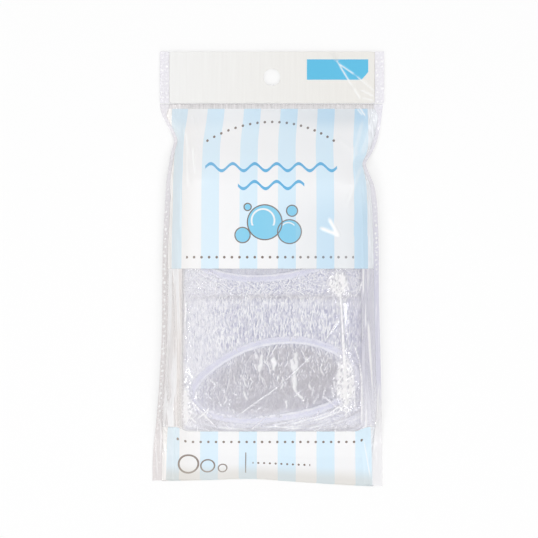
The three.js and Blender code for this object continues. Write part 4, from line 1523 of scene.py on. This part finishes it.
ELASTIC = elastic_finish()
for stack in STACKS:
    for layer in range(CAPS_PER_STACK):
        grid = TOP_HEM_GRID if layer == CAPS_PER_STACK - 1 else HIDDEN_HEM_GRID
        hem = elastic_hem(f"cap_hem_{stack}_{layer + 1}", stack, layer, *grid)
        dress(hem, ELASTIC, "bag", "elastic", f"cap_elastic_{stack}_{layer + 1}")
print("hems:", len(STACKS) * CAPS_PER_STACK, "of them, with", len(hem.data.vertices), "points on top")

# %% [markdown]
# ## The crease
# The header folds on a line of film. A narrow flat strip of clear film spans the fold, reaching a
# little into the bag and into the header.

# %% The film across the crease
CREASE_LAP, CREASE_LEVEL = 1.2, 0.24
film_half = HEADER_HALF - WELD_WIDTH
x, way = np.meshgrid(np.linspace(-film_half, film_half, 81), np.linspace(-1, 1, 25))
y = (CREASE_Y + HEADER_Y) / 2 + way * (CREASE_LAP + (HEADER_Y - CREASE_Y) / 2)
points = np.stack([x, y, np.full_like(x, CREASE_LEVEL)], -1)
crease = give_thickness(make_grid("crease_film", points, crease=np.zeros(x.shape)), FILM)
crease.data.materials.append(BACK_FILM)
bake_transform(crease)
print("the crease strip runs from", round(y.min(), 2), "to", round(y.max(), 2), "mm along the pack")

# %% [markdown]
# ## Sheets
# The films are sheets, cut from a flat roll, and film hardly stretches. The front zones are stretched over
# the caps, and the other films lie flat.


# %% [markdown]
# ## Camera
# The pack is seen from straight above. A lens close to it would make the near film look larger than the far
# film, so the camera stands far away with a long lens, and the pack is seen almost without perspective.

# %% Camera
CAMERA_PLACE, SENSOR, FRAME_WIDTH = (-0.00143, -0.00095, 1.4), 36.0, 0.2562
camera = bpy.data.objects.new("camera", bpy.data.cameras.new("camera"))
bpy.context.scene.collection.objects.link(camera)
camera.location = CAMERA_PLACE
camera.data.sensor_width = SENSOR
camera.data.lens = SENSOR * CAMERA_PLACE[2] / FRAME_WIDTH
bpy.context.scene.camera = camera
print("camera with a lens of", round(camera.data.lens), "mm")

# %% [markdown]
# ## Floor
# The pack lies on a plain white sheet. Lamps strong enough to make the floor white would burn out the pale
# film, so the floor adds white of its own where a camera, a mirror or clear film looks at it, and still
# keeps the shadow.

# %% Floor
FLOOR_HALF, FLOOR_LEVEL, FLOOR_LIFT = 1500, -0.05, 0.65


def floor_finish():
    """White floor that keeps the shadow, lifted to white where a camera, mirror or film looks at it."""
    finish = Finish("white floor")
    diffuse = finish.add("ShaderNodeBsdfDiffuse", {"Color": screen(250, 250, 250)}).outputs[0]
    light = finish.add("ShaderNodeEmission", {"Color": WHITE, "Strength": 1.0}).outputs[0]
    path = finish.add("ShaderNodeLightPath").outputs
    seen = finish.math("MAXIMUM", path["Is Camera Ray"], path["Is Glossy Ray"])
    seen = finish.math("MAXIMUM", seen, path["Is Transmission Ray"])
    return finish.done(finish.cover(finish.math("MULTIPLY", seen, FLOOR_LIFT), diffuse, light))


floor_side = np.linspace(-FLOOR_HALF, FLOOR_HALF, 5)
floor_x, floor_y = np.meshgrid(floor_side, floor_side)
floor = make_grid("floor", np.stack([floor_x, floor_y, np.full_like(floor_x, FLOOR_LEVEL)], -1))
floor.data.materials.append(floor_finish())
print("floor:", 2 * FLOOR_HALF, "mm wide")

# %% [markdown]
# ## Light
# Film is lit by what it mirrors. One large lamp would veil all of it, and bare bulbs would leave it dull
# between hard points. So eight small lamps stand in a ring well off to the sides: flat film mirrors none of
# them, and each fold that leans towards one catches a short white line. Two soft boxes, one on each side,
# draw the long gleams of the margins, and a pale sky, brighter towards both ends of the pack, lights the
# rest.

# %% Light
LAMP_AWAY, LAMP_SIZE, RING_SHIFT = 1.1, (0.08, 0.13), (0, -0.075, 0)
LAMPS = [(28, 34, 0.6), (56, 34, 0.6), (-28, 34, 0.6), (-56, 38, 0.96)]   # azimuth, tilt, power
LAMPS += [(152, 34, 0.6), (124, 34, 0.6), (208, 34, 0.6), (236, 38, 0.96)]
SKY_ALL_OVER, SKY_ENDS = 0.345, 0.85


def soft_box(name, place, size, power):
    """An area lamp of the given width and height that faces the pack."""
    lamp = bpy.data.lights.new(name, "AREA")
    lamp.shape = "RECTANGLE"
    lamp.size, lamp.size_y = size
    lamp.energy = power
    made = bpy.data.objects.new(name, lamp)
    made.location = place
    made.rotation_euler = (-made.location).to_track_quat("-Z", "Y").to_euler()
    bpy.context.scene.collection.objects.link(made)


def ring_place(azimuth, tilt):
    """A place on a dome about the pack, at an azimuth and a tilt from straight above, in degrees."""
    turn, lean = np.radians(azimuth), np.radians(tilt)
    way = np.array([np.sin(lean) * np.cos(turn), np.sin(lean) * np.sin(turn), np.cos(lean)])
    return LAMP_AWAY * way + RING_SHIFT


def sky():
    """A white sky of strength 0.345 + 0.85 y y, where y is how far a direction points along the pack."""
    world = bpy.data.worlds.new("sky")
    world.use_nodes = True
    nodes, links = world.node_tree.nodes, world.node_tree.links
    way = nodes.new("ShaderNodeSeparateXYZ")
    squared, level = nodes.new("ShaderNodeMath"), nodes.new("ShaderNodeMath")
    squared.operation, level.operation = "MULTIPLY", "MULTIPLY_ADD"
    level.inputs[1].default_value, level.inputs[2].default_value = SKY_ENDS, SKY_ALL_OVER
    links.new(nodes.new("ShaderNodeTexCoord").outputs["Generated"], way.inputs[0])
    links.new(way.outputs[1], squared.inputs[0])
    links.new(way.outputs[1], squared.inputs[1])
    links.new(squared.outputs[0], level.inputs[0])
    links.new(level.outputs[0], nodes["Background"].inputs["Strength"])
    nodes["Background"].inputs["Color"].default_value = WHITE
    return world


for number, (azimuth, tilt, power) in enumerate(LAMPS, 1):
    soft_box(f"lamp {number}", ring_place(azimuth, tilt), LAMP_SIZE, power)
soft_box("right soft box", (0.42, -0.115, 1.0), (0.2, 0.09), 0.7)
soft_box("left soft box", (-0.64, -0.165, 0.9), (0.14, 0.1), 0.7)
bpy.context.scene.world = sky()
bpy.context.scene.view_settings.view_transform = "Standard"
print("lamps:", len(LAMPS), "small ones and two soft boxes")
